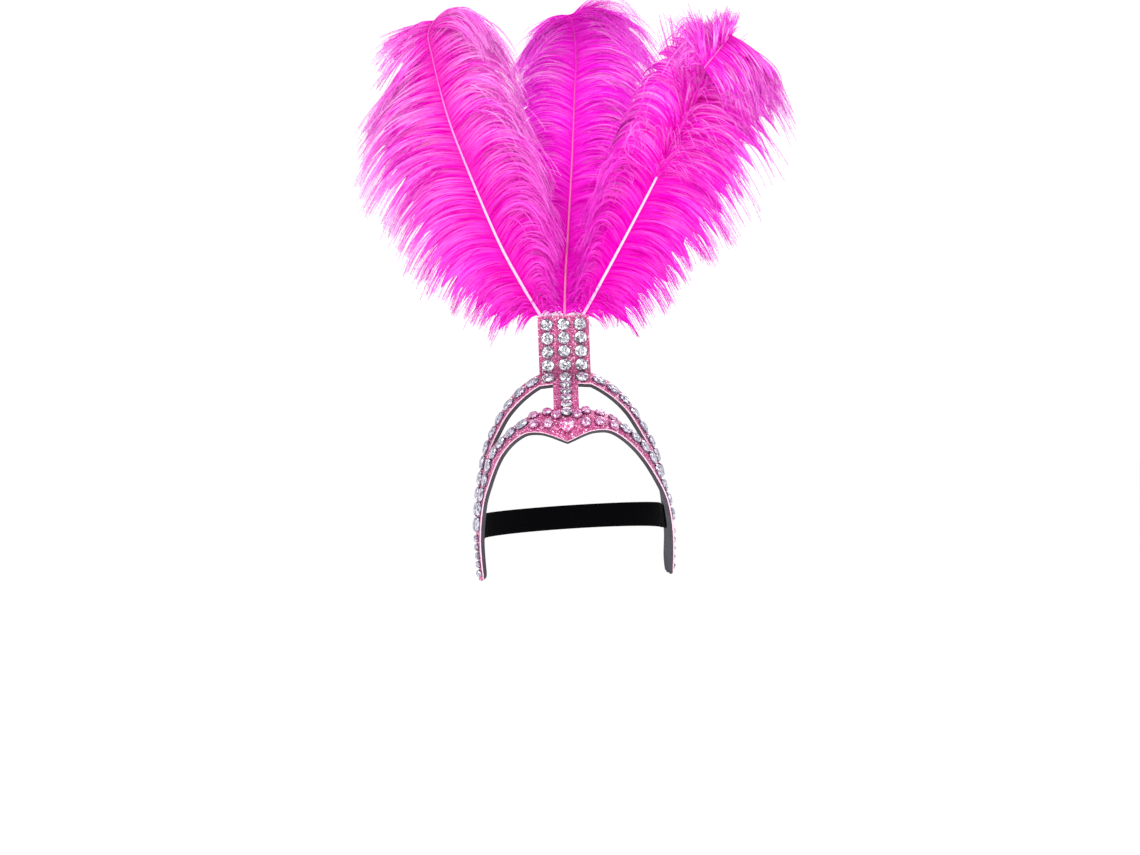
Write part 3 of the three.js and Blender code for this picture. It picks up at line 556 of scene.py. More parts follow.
def filled(i, j):
    away = max(abs(i - LAST), abs(i + 1 - LAST)) / STEPS
    if j == BROW:
        return away <= STEM_ROW
    if j == OUTER:
        return away <= PLATE_ROW
    return j < OUTER


def corner_id(i, j):
    away = abs(i - LAST) / STEPS
    return i * 6 + (BROW if j == INNER and away >= JOIN_ROW else j)


def quad(i, j):
    return [(i, j), (i + 1, j), (i + 1, j + 1), (i, j + 1)]


def offset_directions():
    corners = {}
    for i in range(len(GRID) - 1):
        for j in range(TOP):
            if not filled(i, j):
                continue
            a, b, c, d = (GRID[p] for p in quad(i, j))
            normal = unit(np.cross(c - a, d - b))
            for p, q in quad(i, j):
                strips = corners.setdefault(corner_id(p, q), {})
                strips[j] = strips.get(j, 0) + normal
    directions = {}
    for key, strips in corners.items():
        normals = [unit(n) for n in strips.values()]
        mean = unit(sum(normals))
        directions[key] = mean / np.mean([n @ mean for n in normals])
    return directions


OUTWARDS = offset_directions()


def crown_layer(shallow, deep):
    """Points, faces and whether each face is a cut edge, for a layer between two depths."""
    ids, points, faces, cut = {}, [], [], []
    borders = {}

    def corner(i, j):
        key = corner_id(i, j)
        if key not in ids:
            ids[key] = len(points)
            for inset in (shallow, deep):
                points.append(GRID[i][j] - OUTWARDS[key] * inset)
        return ids[key]

    for i in range(len(GRID) - 1):
        for j in range(TOP):
            if not filled(i, j):
                continue
            face = list(dict.fromkeys(corner(p, q) for p, q in quad(i, j)))
            if len(face) < 3:
                continue
            faces.append(face)
            faces.append([v + 1 for v in reversed(face)])
            cut += [0, 0]
            for k, start in enumerate(face):
                end = face[(k + 1) % len(face)]
                if borders.pop((end, start), None) is None:
                    borders[(start, end)] = True
    for start, end in borders:
        faces.append([start, start + 1, end + 1, end])
        cut.append(1)
    return np.array(points), faces, cut


STRIPS = {
    "band": (FRONT, SWELL, BROW),
    "halo": (INNER, OUTER),
    "stem": (INNER, BROW),
    "plate": (TOP, OUTER),
    "arm": (FRONT, OUTER),
}


def face_point(strip, at, across):
    step = min(max(LAST + at * STEPS, 0), len(GRID) - 1.001)
    i = int(step)
    columns = STRIPS[strip]
    place = min(max(across, 0), 1) * (len(columns) - 1)
    j = min(int(place), len(columns) - 2)
    a, b = (lerp(GRID[row][columns[j]], GRID[row][columns[j + 1]], place - j) for row in (i, i + 1))
    return lerp(a, b, step - i)


def seat(strip, at, across, length, width):
    """A stone's place: its middle, outward normal and way along the strip, and the face's relief under it."""
    middle = face_point(strip, at, across)
    run = unit(face_point(strip, at + 0.05, across) - face_point(strip, at - 0.05, across))
    rise = face_point(strip, at, across + 0.05) - face_point(strip, at, across - 0.05)
    normal = unit(np.cross(run, rise))
    nearest = corner_id(round(LAST + at * STEPS), STRIPS[strip][0])
    if normal @ OUTWARDS[nearest] < 0:
        normal = -normal
    station = np.linalg.norm(face_point(strip, at + 0.2, across) - face_point(strip, at - 0.2, across)) / 0.4
    breadth = np.linalg.norm(face_point(strip, at, 1) - face_point(strip, at, 0))
    heights = [0]
    for reach in (0.25, 0.5):
        for k in range(12):
            turn = k * math.pi / 6
            near_at = at + math.cos(turn) * reach * length / station
            near_across = across + math.sin(turn) * reach * width / breadth
            heights.append((face_point(strip, near_at, near_across) - middle) @ normal)
    return {"middle": middle, "normal": normal, "run": run, "rest": max(heights), "rim": min(heights)}


def placed(points, place, height):
    up = unit(np.cross(place["normal"], place["run"]))
    side = unit(np.cross(up, place["normal"]))
    base = place["middle"] + place["normal"] * height
    return points[:, :1] * side + points[:, 1:2] * up + points[:, 2:3] * place["normal"] + base


# Stones


def ellipse(length, width):
    def outline(share):
        turn = share * 2 * math.pi
        return (math.cos(turn) * length / 2, math.sin(turn) * width / 2)

    return outline


def heart(width, height):
    def outline(share):
        turn = share * 2 * math.pi
        waves = 13 * math.cos(turn) - 5 * math.cos(2 * turn) - 2 * math.cos(3 * turn) - math.cos(4 * turn)
        return (-width / 2 * math.sin(turn) ** 3, height * ((waves + 2.6) / 29))

    return outline


def ring_faces(ring, corners):
    """The faces from one ring of corners up to the next."""
    low, high = ring * corners, (ring + 1) * corners
    faces = []
    for k in range(corners):
        n = (k + 1) % corners
        if ring == 0:
            faces.append([low + k, low + n, high + n, high + k])
        elif ring in (1, 3):
            faces += [[low + k, low + n, high + k], [low + n, high + n, high + k]]
        else:
            faces += [[low + k, high + n, high + k], [low + k, low + n, high + n]]
    return faces


def cut_stone(outline, corners, foot=0.0):
    """A stone with staggered rows of facets and a star of facets within its table."""
    points = []
    for ring, (height, scale) in enumerate(CUT_RINGS):
        turn = 0.5 if ring in (2, 4) else 0
        for k in range(corners):
            x, y = outline((k + turn) / corners)
            points.append((x * scale, y * scale, -foot if height < 0 else height))
    top = (len(CUT_RINGS) - 1) * corners
    inner = top + corners
    faces = [face for ring in range(len(CUT_RINGS) - 1) for face in ring_faces(ring, corners)]
    middle = np.mean(points[top:], axis=0)
    for k in range(corners):
        drop = np.array((0, 0, TABLE_DIP * 0.3 * (k % 2)))
        points.append(tuple(lerp(middle, np.array(points[top + k]), 0.5) - drop))
    points.append((middle[0], middle[1], STONE_RISE - TABLE_DIP))
    for k in range(corners):
        n = (k + 1) % corners
        faces += [[top + k, top + n, inner + k], [top + n, inner + n, inner + k]]
        faces.append([inner + k, inner + n, len(points) - 1])
    faces.append(list(range(corners - 1, -1, -1)))
    return np.array(points, float), faces


class StoneSet:
    """Stones of one finish that make one piece."""

    def __init__(self):
        self.points, self.faces, self.tints, self.count = [], [], [], 0

    def add(self, shape, place, height, corners):
        points, faces = shape
        # Painted reflections: a random tone for each face; the girdle's sides painted dark as a shaded rim,
        # and the lowest crown faces a little darker, painted shade.
        tints = random.random(len(faces))
        tints[:corners] = 0
        tints[corners : 3 * corners] *= 0.8
        self.tints.append(tints)
        self.points.append(placed(points, place, height))
        self.faces += [[v + self.count for v in f] for f in faces]
        self.count += len(points)

    def piece(self, name, material, nodes):
        made = solid(name, np.vstack(self.points), self.faces, [material])
        tint = made.data.attributes.new("facet_reflection", "FLOAT", "FACE")
        tint.data.foreach_set("value", np.concatenate(self.tints).astype(np.float32))
        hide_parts(*nodes)


def add_stone(stones, strip, at, across, diameter, corners=12):
    place = seat(strip, at, across, diameter, diameter)
    stones.add(cut_stone(ellipse(diameter, diameter), corners), place, place["rest"] + CLEARANCE, corners)


def plate_and_halo_stones(silver):
    plate, halo = StoneSet(), StoneSet()
    room = PLATE_HEIGHT - PLATE_STONE_MARGIN - CLEARANCE
    rows = int(room / (PLATE_STONE + CLEARANCE))
    for column in (-1, 0, 1):
        at = column * PLATE_COLUMN_PITCH * PLATE_ROW / (PLATE_WIDTH / 2)
        for row in range(rows):
            down = PLATE_STONE_MARGIN + PLATE_STONE / 2 + row * room / rows
            add_stone(plate, "plate", at, down / PLATE_HEIGHT, PLATE_STONE)
        add_stone(halo, "halo", at, HALO_STONE_SEAT, PLATE_STONE)
    names = [f"plate_stone_{row}_{column}" for row in range(1, rows + 1) for column in (1, 2, 3)]
    plate.piece("plate_stones", silver, names)
    halo.piece("halo_stones", silver, [f"halo_stone_{column}" for column in (1, 2, 3)])


def stem_stones(silver):
    stones = StoneSet()
    stem = np.linalg.norm(face_point("stem", 0, 0) - face_point("stem", 0, 1))
    band = np.linalg.norm(face_point("band", 0, 0) - face_point("band", 0, 1))
    for n in range(5):
        down = STEM_STONE_START + n * STEM_STONE_PITCH
        if down < stem:
            add_stone(stones, "stem", 0, down / stem, STEM_STONE)
        else:
            add_stone(stones, "band", 0, 1 - (down - stem) / band, STEM_STONE)
    stones.piece("stem_stones", silver, [f"stem_stone_{n}" for n in range(1, 6)])


def brow_stones(pink, deep):
    place = seat("band", 0, HEART_SEAT, HEART_WIDTH, HEART_HEIGHT)
    middle = StoneSet()
    middle.add(cut_stone(heart(HEART_WIDTH, HEART_HEIGHT), 22), place, place["rest"] + CLEARANCE, 22)
    middle.piece("brow_heart_stone", deep, ["brow_heart"])
    stones = StoneSet()
    for side, at, across in BROW_STONES:
        add_stone(stones, "band", side * at, across, BROW_STONE)
    stones.piece("brow_stones", pink, BROW_STONE_NAMES)


def row_stones(pale):
    sets = {"halo": StoneSet(), "band": StoneSet(), "arm": StoneSet()}
    for side, strip, start, end, kind in STONE_ROWS:
        length, width, pitch, corners = ROW_STONES[kind]
        travelled = pitch
        last = face_point(strip, side * start, 0.5)
        for k in range(int(round((end - start) / ROW_STEP)) + 1):
            at = start + k * ROW_STEP
            here = face_point(strip, side * at, 0.5)
            travelled += np.linalg.norm(here - last)
            last = here
            if travelled < pitch:
                continue
            travelled -= pitch
            place = seat(strip, side * at, 0.5, length, width)
            shape = cut_stone(ellipse(length, width), corners, SINK_DEPTH - place["rim"])
            sets[strip].add(shape, place, 0, corners)
    for strip, stones in sets.items():
        stones.piece(f"{strip}_row_stones", pale, ["glitter_sheet"])


# Crown pieces


def add_crown(glitter, edge, foam):
    points, faces, cut = crown_layer(0, SHEET_THICK)
    sheet = solid("glitter_face", points, faces, [glitter, edge], cut)
    # Painted shadow along the plate's foot, marked on points near that bend.
    crease_shadow_attribute = sheet.data.attributes.new("painted_crease_shadow", "FLOAT", "POINT")
    near = np.abs(points[:, 2] - CROWN_RISE) < 1.2
    inside = (np.abs(points[:, 0]) < PLATE_WIDTH / 2 + 0.5) & (points[:, 1] > PLATE_FACE - 3)
    crease_shadow_attribute.data.foreach_set("value", (near & inside).astype(np.float32) * 0.4)
    bevelled(sheet, 0.22, 50)
    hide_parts("glitter_sheet")
    points, faces, cut = crown_layer(SEAM_DEPTH, SEAM_DEPTH + FOAM_THICK)
    board = solid("foam_board", points, faces, [foam])
    bevelled(board, 0.5, 50)
    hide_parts("foam_backing")


# Plumes


def resampled(points):
    """Points at even steps along a centripetal curve through the given ones, and the curve's length."""
    points = np.asarray(points, float)
    padded = np.vstack([2 * points[0] - points[1], points, 2 * points[-1] - points[-2]])
    dense = []
    w = np.linspace(0, 1, 60, endpoint=False)[:, None]
    for i in range(len(points) - 1):
        p0, p1, p2, p3 = padded[i : i + 4]
        d0, d1, d2 = (np.linalg.norm(b - a) ** 0.5 for a, b in ((p0, p1), (p1, p2), (p2, p3)))
        m1 = ((p1 - p0) / d0 - (p2 - p0) / (d0 + d1) + (p2 - p1) / d1) * d1
        m2 = ((p2 - p1) / d1 - (p3 - p1) / (d1 + d2) + (p3 - p2) / d2) * d1
        square, cube = 3 * p2 - 3 * p1 - 2 * m1 - m2, 2 * p1 - 2 * p2 + m1 + m2
        dense.append(p1 + m1 * w + square * w**2 + cube * w**3)
    dense = np.vstack([*dense, points[-1:]])
    run = distances(dense)
    at = np.linspace(0, run[-1], SHAFT_STEPS + 1)
    return np.stack([np.interp(at, run, dense[:, k]) for k in range(3)], 1), run[-1]


class Rachis:
    """The shaft line of a plume with its frames: tangent, the vane's normal and the way to its right."""

    def __init__(self, design):
        size = np.array((design["spread"], design["sweep"], design["rise"])) * PLUME_RISE
        foot = np.array((design["foot"] * PLATE_WIDTH, QUILL_LINE, PLATE_TOP + 1))
        self.points, self.length = resampled(np.array(design["path"]) * size + foot)
        self.tangents = unit(np.gradient(self.points, axis=0))
        self.normals = np.zeros_like(self.points)
        normal = np.array((0.0, -1.0, 0.0))
        for k, tangent in enumerate(self.tangents):
            normal = unit(normal - tangent * (normal @ tangent))
            self.normals[k] = normal
        self.sides = np.cross(self.tangents, self.normals)

    def at(self, share):
        """Point, tangent, normal and side at shares of the length."""
        steps = np.linspace(0, 1, len(self.points))
        read = lambda rows: np.stack([np.interp(share, steps, rows[:, k]) for k in range(3)], -1)
        return read(self.points), unit(read(self.tangents)), unit(read(self.normals)), unit(read(self.sides))


def shaft_radius(share):
    return lerp(QUILL_WIDTH, SHAFT_TIP, share) / 2


def clumps_of(count, low, high):
    """A number for each barb, the same for neighbours that cling together."""
    sizes = random.integers(low, high + 1, count)
    return np.repeat(np.arange(count), sizes)[:count]


def reading(design, key, hand, share):
    """A vane's row of numbers, read at shares of the shaft."""
    row = design.get(f"{HANDS[hand]}_{key}", (1, 1))
    return np.interp(share, np.linspace(0, 1, len(row)), row)


def one_of(design, key, hand):
    return design[key][int(hand > 0)]


def full_length(design, hand, share):
    return BARB_LENGTH * design["barb"] * reading(design, "length", hand, share)


def full_angle(design, hand, share):
    if f"{HANDS[hand]}_angle" in design:
        return BARB_ANGLE * reading(design, "angle", hand, share)
    return BARB_ANGLE * lerp(1, 0.3, smoothstep(share, 0.88, 1.0))


def full_droop(design, hand, share):
    return BARB_DROOP * reading(design, "droop", hand, share)


def crest(design, hand, share):
    """How far the barbs at the tip lean up off the curled shaft."""
    return one_of(design, "crest", hand) * smoothstep(share, 0.82, 1)


def clung(line, clump, cling, start):
    """Lines drawn towards the middle of their clump, from a share of their length to the end."""
    totals = np.zeros((clump.max() + 1, BARB_BENDS + 1, 3))
    np.add.at(totals, clump, line)
    middles = totals / np.bincount(clump)[:, None, None]
    pull = cling[:, None] * smoothstep(WAY, start, 1)
    return lerp(line, middles[clump], pull[..., None])


def grid_triangles(rows, spread, step):
    """Two triangles for each cell between bends, of so many rows, with its far corners a step further on."""
    first = (np.arange(rows)[:, None] * len(WAY) + np.arange(BARB_BENDS)[None]).ravel() * spread
    return np.vstack([
        np.stack([first, first + 1, first + step + 1], 1),
        np.stack([first, first + step + 1, first + step], 1),
    ])


def drawn(root, normal, start, length, droop, cup):
    """Lines that set off in the given ways and bend over under their weight."""
    line = np.zeros((len(root), BARB_BENDS + 1, 3))
    line[:, 0] = root
    for k in range(1, BARB_BENDS + 1):
        pull = (k / BARB_BENDS) ** 1.4
        heading = start + normal * (cup * pull)
        heading[:, 2] -= droop * pull
        line[:, k] = line[:, k - 1] + unit(heading) * (length / BARB_BENDS)[:, None]
    line[..., 1] = np.maximum(line[..., 1], lerp(line[..., 1], PLUME_FRONT, 0.75))
    return line


def ragged_reach(design, hand, share, clump):
    """How far out each row of the closed part goes: furthest in the middle of its clump."""
    size = np.bincount(clump)
    groups = len(size)
    first = np.searchsorted(clump, np.arange(groups))
    inward = 1 - np.abs((np.arange(WEB_ROWS) - first[clump] + 0.5) / size[clump] * 2 - 1)
    low, high = random.uniform(0.5, 0.62, groups)[clump], random.uniform(0.8, 0.97, groups)[clump]
    fade = lerp(1, one_of(design, "web_tip", hand), smoothstep(share, one_of(design, "web_from", hand), 0.92))
    return lerp(low, high, inward**0.8) * (random.uniform(0.94, 1.04, WEB_ROWS) * fade)


def web_lines(rachis, design, hand):
    """The closed inner part of a vane, where neighbouring barbs lie edge to edge, with a ragged end."""
    share = np.linspace(*WEB_SPAN, WEB_ROWS)
    point, tangent, normal, side = rachis.at(share)
    angle = full_angle(design, hand, share)
    start = tangent * np.cos(angle)[:, None] + side * (hand * np.sin(angle))[:, None]
    start -= normal * (WEB_LEAN + crest(design, hand, share))[:, None]
    root = point + side * (hand * shaft_radius(share) * 0.5)[:, None]
    length, droop = full_length(design, hand, share), full_droop(design, hand, share)
    line = drawn(root, normal, start, length, droop, design["cup"])
    clump = clumps_of(WEB_ROWS, 5, 12)
    reach = ragged_reach(design, hand, share, clump)
    line = clung(line, clump, random.uniform(0.5, 0.85, clump.max() + 1)[clump], 0.4)
    place = reach[:, None] * np.arange(BARB_BENDS + 1)[None]
    k = np.minimum(place.astype(int), BARB_BENDS - 1)
    rows = np.arange(WEB_ROWS)[:, None]
    sheet = lerp(line[rows, k], line[rows, k + 1], (place - k)[..., None])
    return sheet + normal[:, None, :] * random.normal(0, 0.25, (WEB_ROWS, 1, 1)), reach


def barb_shares(rachis):
    """Where the barbs stand along the shaft, the short ones at its foot first."""
    count = int(rachis.length * 0.97 / BARB_PITCH)
    share = np.clip(np.linspace(0.022, 0.998, count) + random.normal(0, 0.0012, count), 0.015, 1)
    share = np.sort(np.concatenate([share, random.uniform(0.85, 1, TIP_BARBS)]))
    return np.concatenate([random.uniform(0.0, 0.075, DOWN_BARBS), share])


def barb_lines(rachis, design, hand):
    """The middle lines of a vane's barbs, by barb, bend and xyz, with lengths, normals and breadths."""
    share = barb_shares(rachis)
    count = len(share)
    clump = clumps_of(count, 8, 24)
    groups = clump.max() + 1
    by_clump = lambda spread: random.normal(0, spread, groups)[clump]
    jitter = lambda base, ours, own: base + by_clump(ours) + random.normal(0, own, count)
    within = lambda low, high: random.uniform(low, high, count)
    scaled = lambda which, value, low, high: np.where(which, value * within(low, high), value)
    picked = lambda key, part: (random.random(count) < one_of(design, key, hand)) & between(share, *part)
    down = np.arange(count) < DOWN_BARBS
    point, tangent, normal, side = rachis.at(share)
    length = np.where(down, within(*DOWN_LENGTH), full_length(design, hand, share))
    length *= jitter(1, 0.05, 0.05)
    under = (random.random(count) < UNDER_SHARE) & ~down
    length = scaled(under, length, 0.6, 0.85)
    angle = jitter(full_angle(design, hand, share), 0.03, 0.05)
    angle = np.where(down, within(0.35, 1.3), angle)
    angle = angle + random.normal(0, 0.1, count) * smoothstep(share, 0.9, 0.97)
    lean = jitter(0.02, 0.1, 0.08)
    lean = np.where(under, lean - 0.12, np.where(down, random.normal(0, 0.45, count), lean))
    lean = lean - crest(design, hand, share)
    droop = full_droop(design, hand, share) * jitter(1, 0.05, 0.07)
    upright = picked("tuft", TUFT)
    room = (TUFT_TOP - point[:, 2]) * random.uniform(0.72, 1.05, groups)[clump] * within(0.85, 1.06)
    length = np.where(upright, np.clip(room, *TUFT_LENGTH), length)
    droop = np.where(upright, 0.25, droop)
    over = picked("over", OVER) & ~upright
    lean = np.where(over, within(0.25, 0.65), lean)
    turned = scaled(over, hand * np.sin(angle), -0.6, 0.7)
    droop = scaled(over, droop, 0.25, 0.7)
    length = scaled(over, length, 0.5, 0.9)
    start = tangent * np.cos(angle)[:, None] + side * turned[:, None] + normal * lean[:, None]
    spread = jitter(0, 0.42, 0.12) + 0.25 - 0.5 * smoothstep(share, 0.5, 0.8)
    above = np.stack([spread, jitter(-0.12, 0.14, 0.08), np.ones(count)], 1)
    start = np.where(upright[:, None], above, start)
    root = point + side * (hand * shaft_radius(share) * 0.7)[:, None]
    line = drawn(root, normal, start, length, droop, design["cup"])
    loose = (random.random(count) < LOOSE_SHARE) | over | down | upright | under
    line = clung(line, clump, random.uniform(0.35, 0.92, groups)[clump] * ~loose, 0.42)
    phase = random.uniform(0, 2 * math.pi, groups)[clump][:, None]
    line += normal[:, None, :] * (np.sin(phase + WAY * 2 * math.pi * 1.2) * WAY * SWAY)[..., None]
    line += random.normal(0, 1.0, (count, 1, 3)) * (WAY**2)[None, :, None] * STRAY
    return line, length, normal, np.where(under, 1.5, 1.0)


def ribbons(line, across, breadth):
    """Each barb as a flat ribbon that narrows towards its end."""
    count = len(line)
    taper = lerp(1.0, 0.2, smoothstep(WAY, 0.4, 1))
    half = (BARB_WIDTH * taper[None, :] * breadth[:, None])[..., None] / 2
    points = np.stack([line - across * half, line + across * half], 2).reshape(-1, 3)
    rows = np.repeat(np.arange(count), len(WAY) * 2).reshape(-1, 2) + np.array((0.02, 0.98))
    uv = np.stack([np.tile(np.repeat(WAY, 2), count) * 0.98 + 0.01, rows.ravel() / count], 1)
    return points, grid_triangles(count, 2, 2), uv


def barbules(line, heading, across, length, breadth):
    """Fine hairs on both sides of each barb, one triangle each."""
    counts = np.maximum((length * BARBULES_PER_MM / breadth).astype(int), 20)
    barb = np.repeat(np.arange(len(line)), counts)
    total = len(barb)
    share = random.random(total) ** 0.95
    place = share * BARB_BENDS
    k = np.minimum(place.astype(int), BARB_BENDS - 1)
    read = lambda rows: lerp(rows[barb, k], rows[barb, k + 1], (place - k)[:, None])
    through = unit(np.cross(across, heading))
    root, ahead, sideways, out = read(line), unit(read(heading)), unit(read(across)), unit(read(through))
    tilt = random.normal(0, 0.55, total)[:, None]
    hands = np.where(random.random(total) < 0.5, -1, 1)[:, None]
    splay = random.uniform(0.45, 1.0, total)[:, None]
    reach = BARBULE_LENGTH * random.uniform(0.6, 1.2, total) * (1 - 0.45 * share**3)
    reach *= lerp(0.45, 1, smoothstep(share, 0, 0.08))
    away = sideways * hands * np.cos(tilt) + out * np.sin(tilt)
    tip = root + (ahead * np.cos(splay) + away * np.sin(splay)) * reach[:, None]
    tip[:, 2] -= 0.12 * reach
    wide = ahead * (BARBULE_WIDTH / 2)
    points = np.stack([root - wide, root + wide, tip], 1).reshape(-1, 3)
    uv = np.repeat(np.stack([share * 0.98 + 0.01, (barb + 0.5) / len(line)], 1), 3, axis=0)
    return points, np.arange(total * 3).reshape(-1, 3), uv


def web(rachis, design, hand):
    line, span = web_lines(rachis, design, hand)
    rows = np.repeat((np.arange(WEB_ROWS) + 0.5) / WEB_ROWS, len(WAY))
    uv = np.stack([(WAY[None] * span[:, None] * 0.98 + 0.01).ravel(), rows], 1)
    return line.reshape(-1, 3), grid_triangles(WEB_ROWS - 1, 1, len(WAY)), uv


def triangle_mesh(name, parts):
    """A mesh made of parts, each with its points, its triangles and the unwrap of its points."""
    starts = np.cumsum([0] + [len(part[0]) for part in parts[:-1]])
    points, uv = (np.vstack([part[k] for part in parts]) for k in (0, 2))
    faces = np.vstack([part[1] + start for part, start in zip(parts, starts)]).astype(np.int32)
    mesh = bpy.data.meshes.new(name)
    mesh.vertices.add(len(points))
    mesh.vertices.foreach_set("co", ((points + SHIFT) * MM).astype(np.float32).ravel())
    mesh.loops.add(faces.size)
    mesh.loops.foreach_set("vertex_index", faces.ravel())
    mesh.polygons.add(len(faces))
    mesh.polygons.foreach_set("loop_start", np.arange(0, faces.size, 3, dtype=np.int32))
    unwrap(mesh, "OFBake", uv[faces.ravel()])
    mesh.update(calc_edges=True)
    return mesh


def add_vane(name, rachis, design, hand, material, node):
    line, length, normal, breadth = barb_lines(rachis, design, hand)
    heading = unit(np.gradient(line, axis=1))
    across = unit(np.cross(heading, normal[:, None, :]))
    parts = [ribbons(line, across, breadth), barbules(line, heading, across, length, breadth)]
    parts.append(web(rachis, design, hand))
    piece = finished(name, triangle_mesh(name, parts), [material], True)
    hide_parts(node)


def tube(name, middles, sides, normals, radii, material):
    """A closed tube with its own unwrap, each ring an ellipse of the given half sizes."""
    corners = QUILL_CORNERS
    turn = np.arange(corners) * 2 * math.pi / corners
    rings = (
        middles[:, None]
        + sides[:, None] * (np.cos(turn)[None, :, None] * radii[:, None, :1])
        + normals[:, None] * (np.sin(turn)[None, :, None] * radii[:, None, 1:])
    )
    faces, uvs = [], []
    last = len(middles) - 1
    for r in range(last):
        for k in range(corners):
            n = (k + 1) % corners
            faces.append([r * corners + k, r * corners + n, (r + 1) * corners + n, (r + 1) * corners + k])
            uvs += [(r / last, k / corners), (r / last, (k + 1) / corners),
                    ((r + 1) / last, (k + 1) / corners), ((r + 1) / last, k / corners)]
    for ring, order in ((0, range(corners - 1, -1, -1)), (last, range(corners))):
        faces.append([ring * corners + k for k in order])
        uvs += [(ring / last, k / corners) for k in order]
    piece = solid(name, rings.reshape(-1, 3), faces, [material], smooth=True)
    unwrap(piece.data, "OFBake", uvs)
    return piece


def add_quill(name, rachis, stout, material, node):
    start, heading = rachis.points[0], rachis.tangents[0] * np.array((1, 0, 1))
    below = [start - unit(heading) * QUILL_ROOT_LENGTH * share for share in (1, 0.75, 0.5, 0.25)]
    middles = np.vstack([below, rachis.points[::2]])
    share = np.linspace(0, 1, len(rachis.points[::2]))
    radius = shaft_radius(share)
    wide = radius * lerp(1, stout, smoothstep(share, 0, 0.08))
    deep = lerp(QUILL_ROOT_DEPTH / 2, radius, smoothstep(share, 0, 0.02))
    root = [(QUILL_WIDTH / 2, QUILL_ROOT_DEPTH / 2)] * len(below)
    radii = np.vstack([root, np.stack([wide, deep], 1)])
    sides, normals = (np.vstack([np.repeat(rows[:1], len(below), 0), rows[::2]])
                      for rows in (rachis.sides, rachis.normals))
    made = tube(name, middles, sides, normals, radii, material)
    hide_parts(node)


def add_plumes():
    for node, design in PLUMES.items():
        short = node.split("_")[1]
        rachis = Rachis(design)
        add_quill(f"quill_{short}", rachis, design["stout"], quill_material(*design["quill"]), node)
        barbs = barb_material(f"magenta_barbs_{short}", design["pale"], design["violet"])
        for hand, side in HANDS.items():
            add_vane(f"vane_{short}_{side}", rachis, design, hand, barbs, node)


# Glue and strap


def add_glue(material):
    steps, corners = 24, 13
    feet = [design["foot"] * PLATE_WIDTH for design in PLUMES.values()]
    middle = PLATE_FACE + SEAM_DEPTH + FOAM_THICK / 2
    for name, start, end in (("left", feet[0], feet[1]), ("right", feet[1], feet[2])):
        low, high = start + QUILL_WIDTH / 2 + GLUE_GAP, end - QUILL_WIDTH / 2 - GLUE_GAP
        rings = []
        for share in np.linspace(0, 1, steps + 1):
            swell = (0.45 + 0.55 * math.sin(share * math.pi)) * (1 + 0.05 * math.sin(share * 23))
            for k in range(corners):
                turn = k / (corners - 1) * math.pi
                y = middle - math.cos(turn) * FOAM_THICK * swell / 2
                z = PLATE_TOP + CLEARANCE + math.sin(turn) * GLUE_HEIGHT * swell
                rings.append((lerp(low, high, share), y, z))
        faces = []
        for low_ring in range(0, steps * corners, corners):
            high_ring = low_ring + corners
            for k in range(corners):
                n = (k + 1) % corners
                faces.append([low_ring + k, high_ring + k, high_ring + n, low_ring + n])
        faces += [list(range(corners)), [steps * corners + k for k in range(corners - 1, -1, -1)]]
        bead = solid(f"glue_{name}", rings, faces, [material], smooth=True)
        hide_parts(f"glue_bead_{name}")


def arm_station(side, level):
    at = JOIN_ROW
    while at < TIP_ROW and face_point("arm", side * at, 0.5)[2] > level:
        at += 0.02
    return at


def strap_path():
    """Points along the strap's middle with the way up at each, from the left tab round to the right one."""
    inset = SEAM_DEPTH + FOAM_THICK + CLEARANCE + STRAP_THICK / 2
    tabs = {}
    for side, level in STRAP_LEVEL.items():
        at = side * arm_station(side, level)
        tabs[side] = []
        for across in np.linspace(*STRAP_TAB, 9):
            place = seat("arm", at, across, 1, 1)
            spot = place["middle"] - place["normal"] * (inset + STRAP_EASE)
            tabs[side].append((spot, place["run"] * np.sign(place["run"][2])))
    start, end = tabs[-1][-1][0], tabs[1][-1][0]
    centre, arm = (start + end) / 2, (end - start) / 2
    arc = []
    for turn in np.arange(1, 96) / 96 * math.pi:
        point = centre - arm * math.cos(turn)
        point[1] += STRAP_REAR * math.sin(turn)
        arc.append((point, np.array((0.0, 0.0, 1.0))))
    points, rises = zip(*tabs[-1], *arc, *tabs[1][::-1])
    return np.array(points), unit(np.array(rises))


def strap_faces(columns, count):
    """Faces of a band of so many columns over and under so many points."""
    index = lambda c, face, i: (c * 2 + face) * count + i
    faces = []
    for i in range(count - 1):
        n = i + 1
        for c in range(columns):
            faces.append([index(c, 0, i), index(c, 0, n), index(c + 1, 0, n), index(c + 1, 0, i)])
            faces.append([index(c, 1, i), index(c + 1, 1, i), index(c + 1, 1, n), index(c, 1, n)])
        faces.append([index(0, 0, i), index(0, 1, i), index(0, 1, n), index(0, 0, n)])
        faces.append([index(columns, 0, i), index(columns, 0, n), index(columns, 1, n), index(columns, 1, i)])
    for i, flip in ((0, 1), (count - 1, -1)):
        ring = [index(c, 0, i) for c in range(columns + 1)] + [index(c, 1, i) for c in range(columns, -1, -1)]
        faces.append(ring[::flip])
    return faces


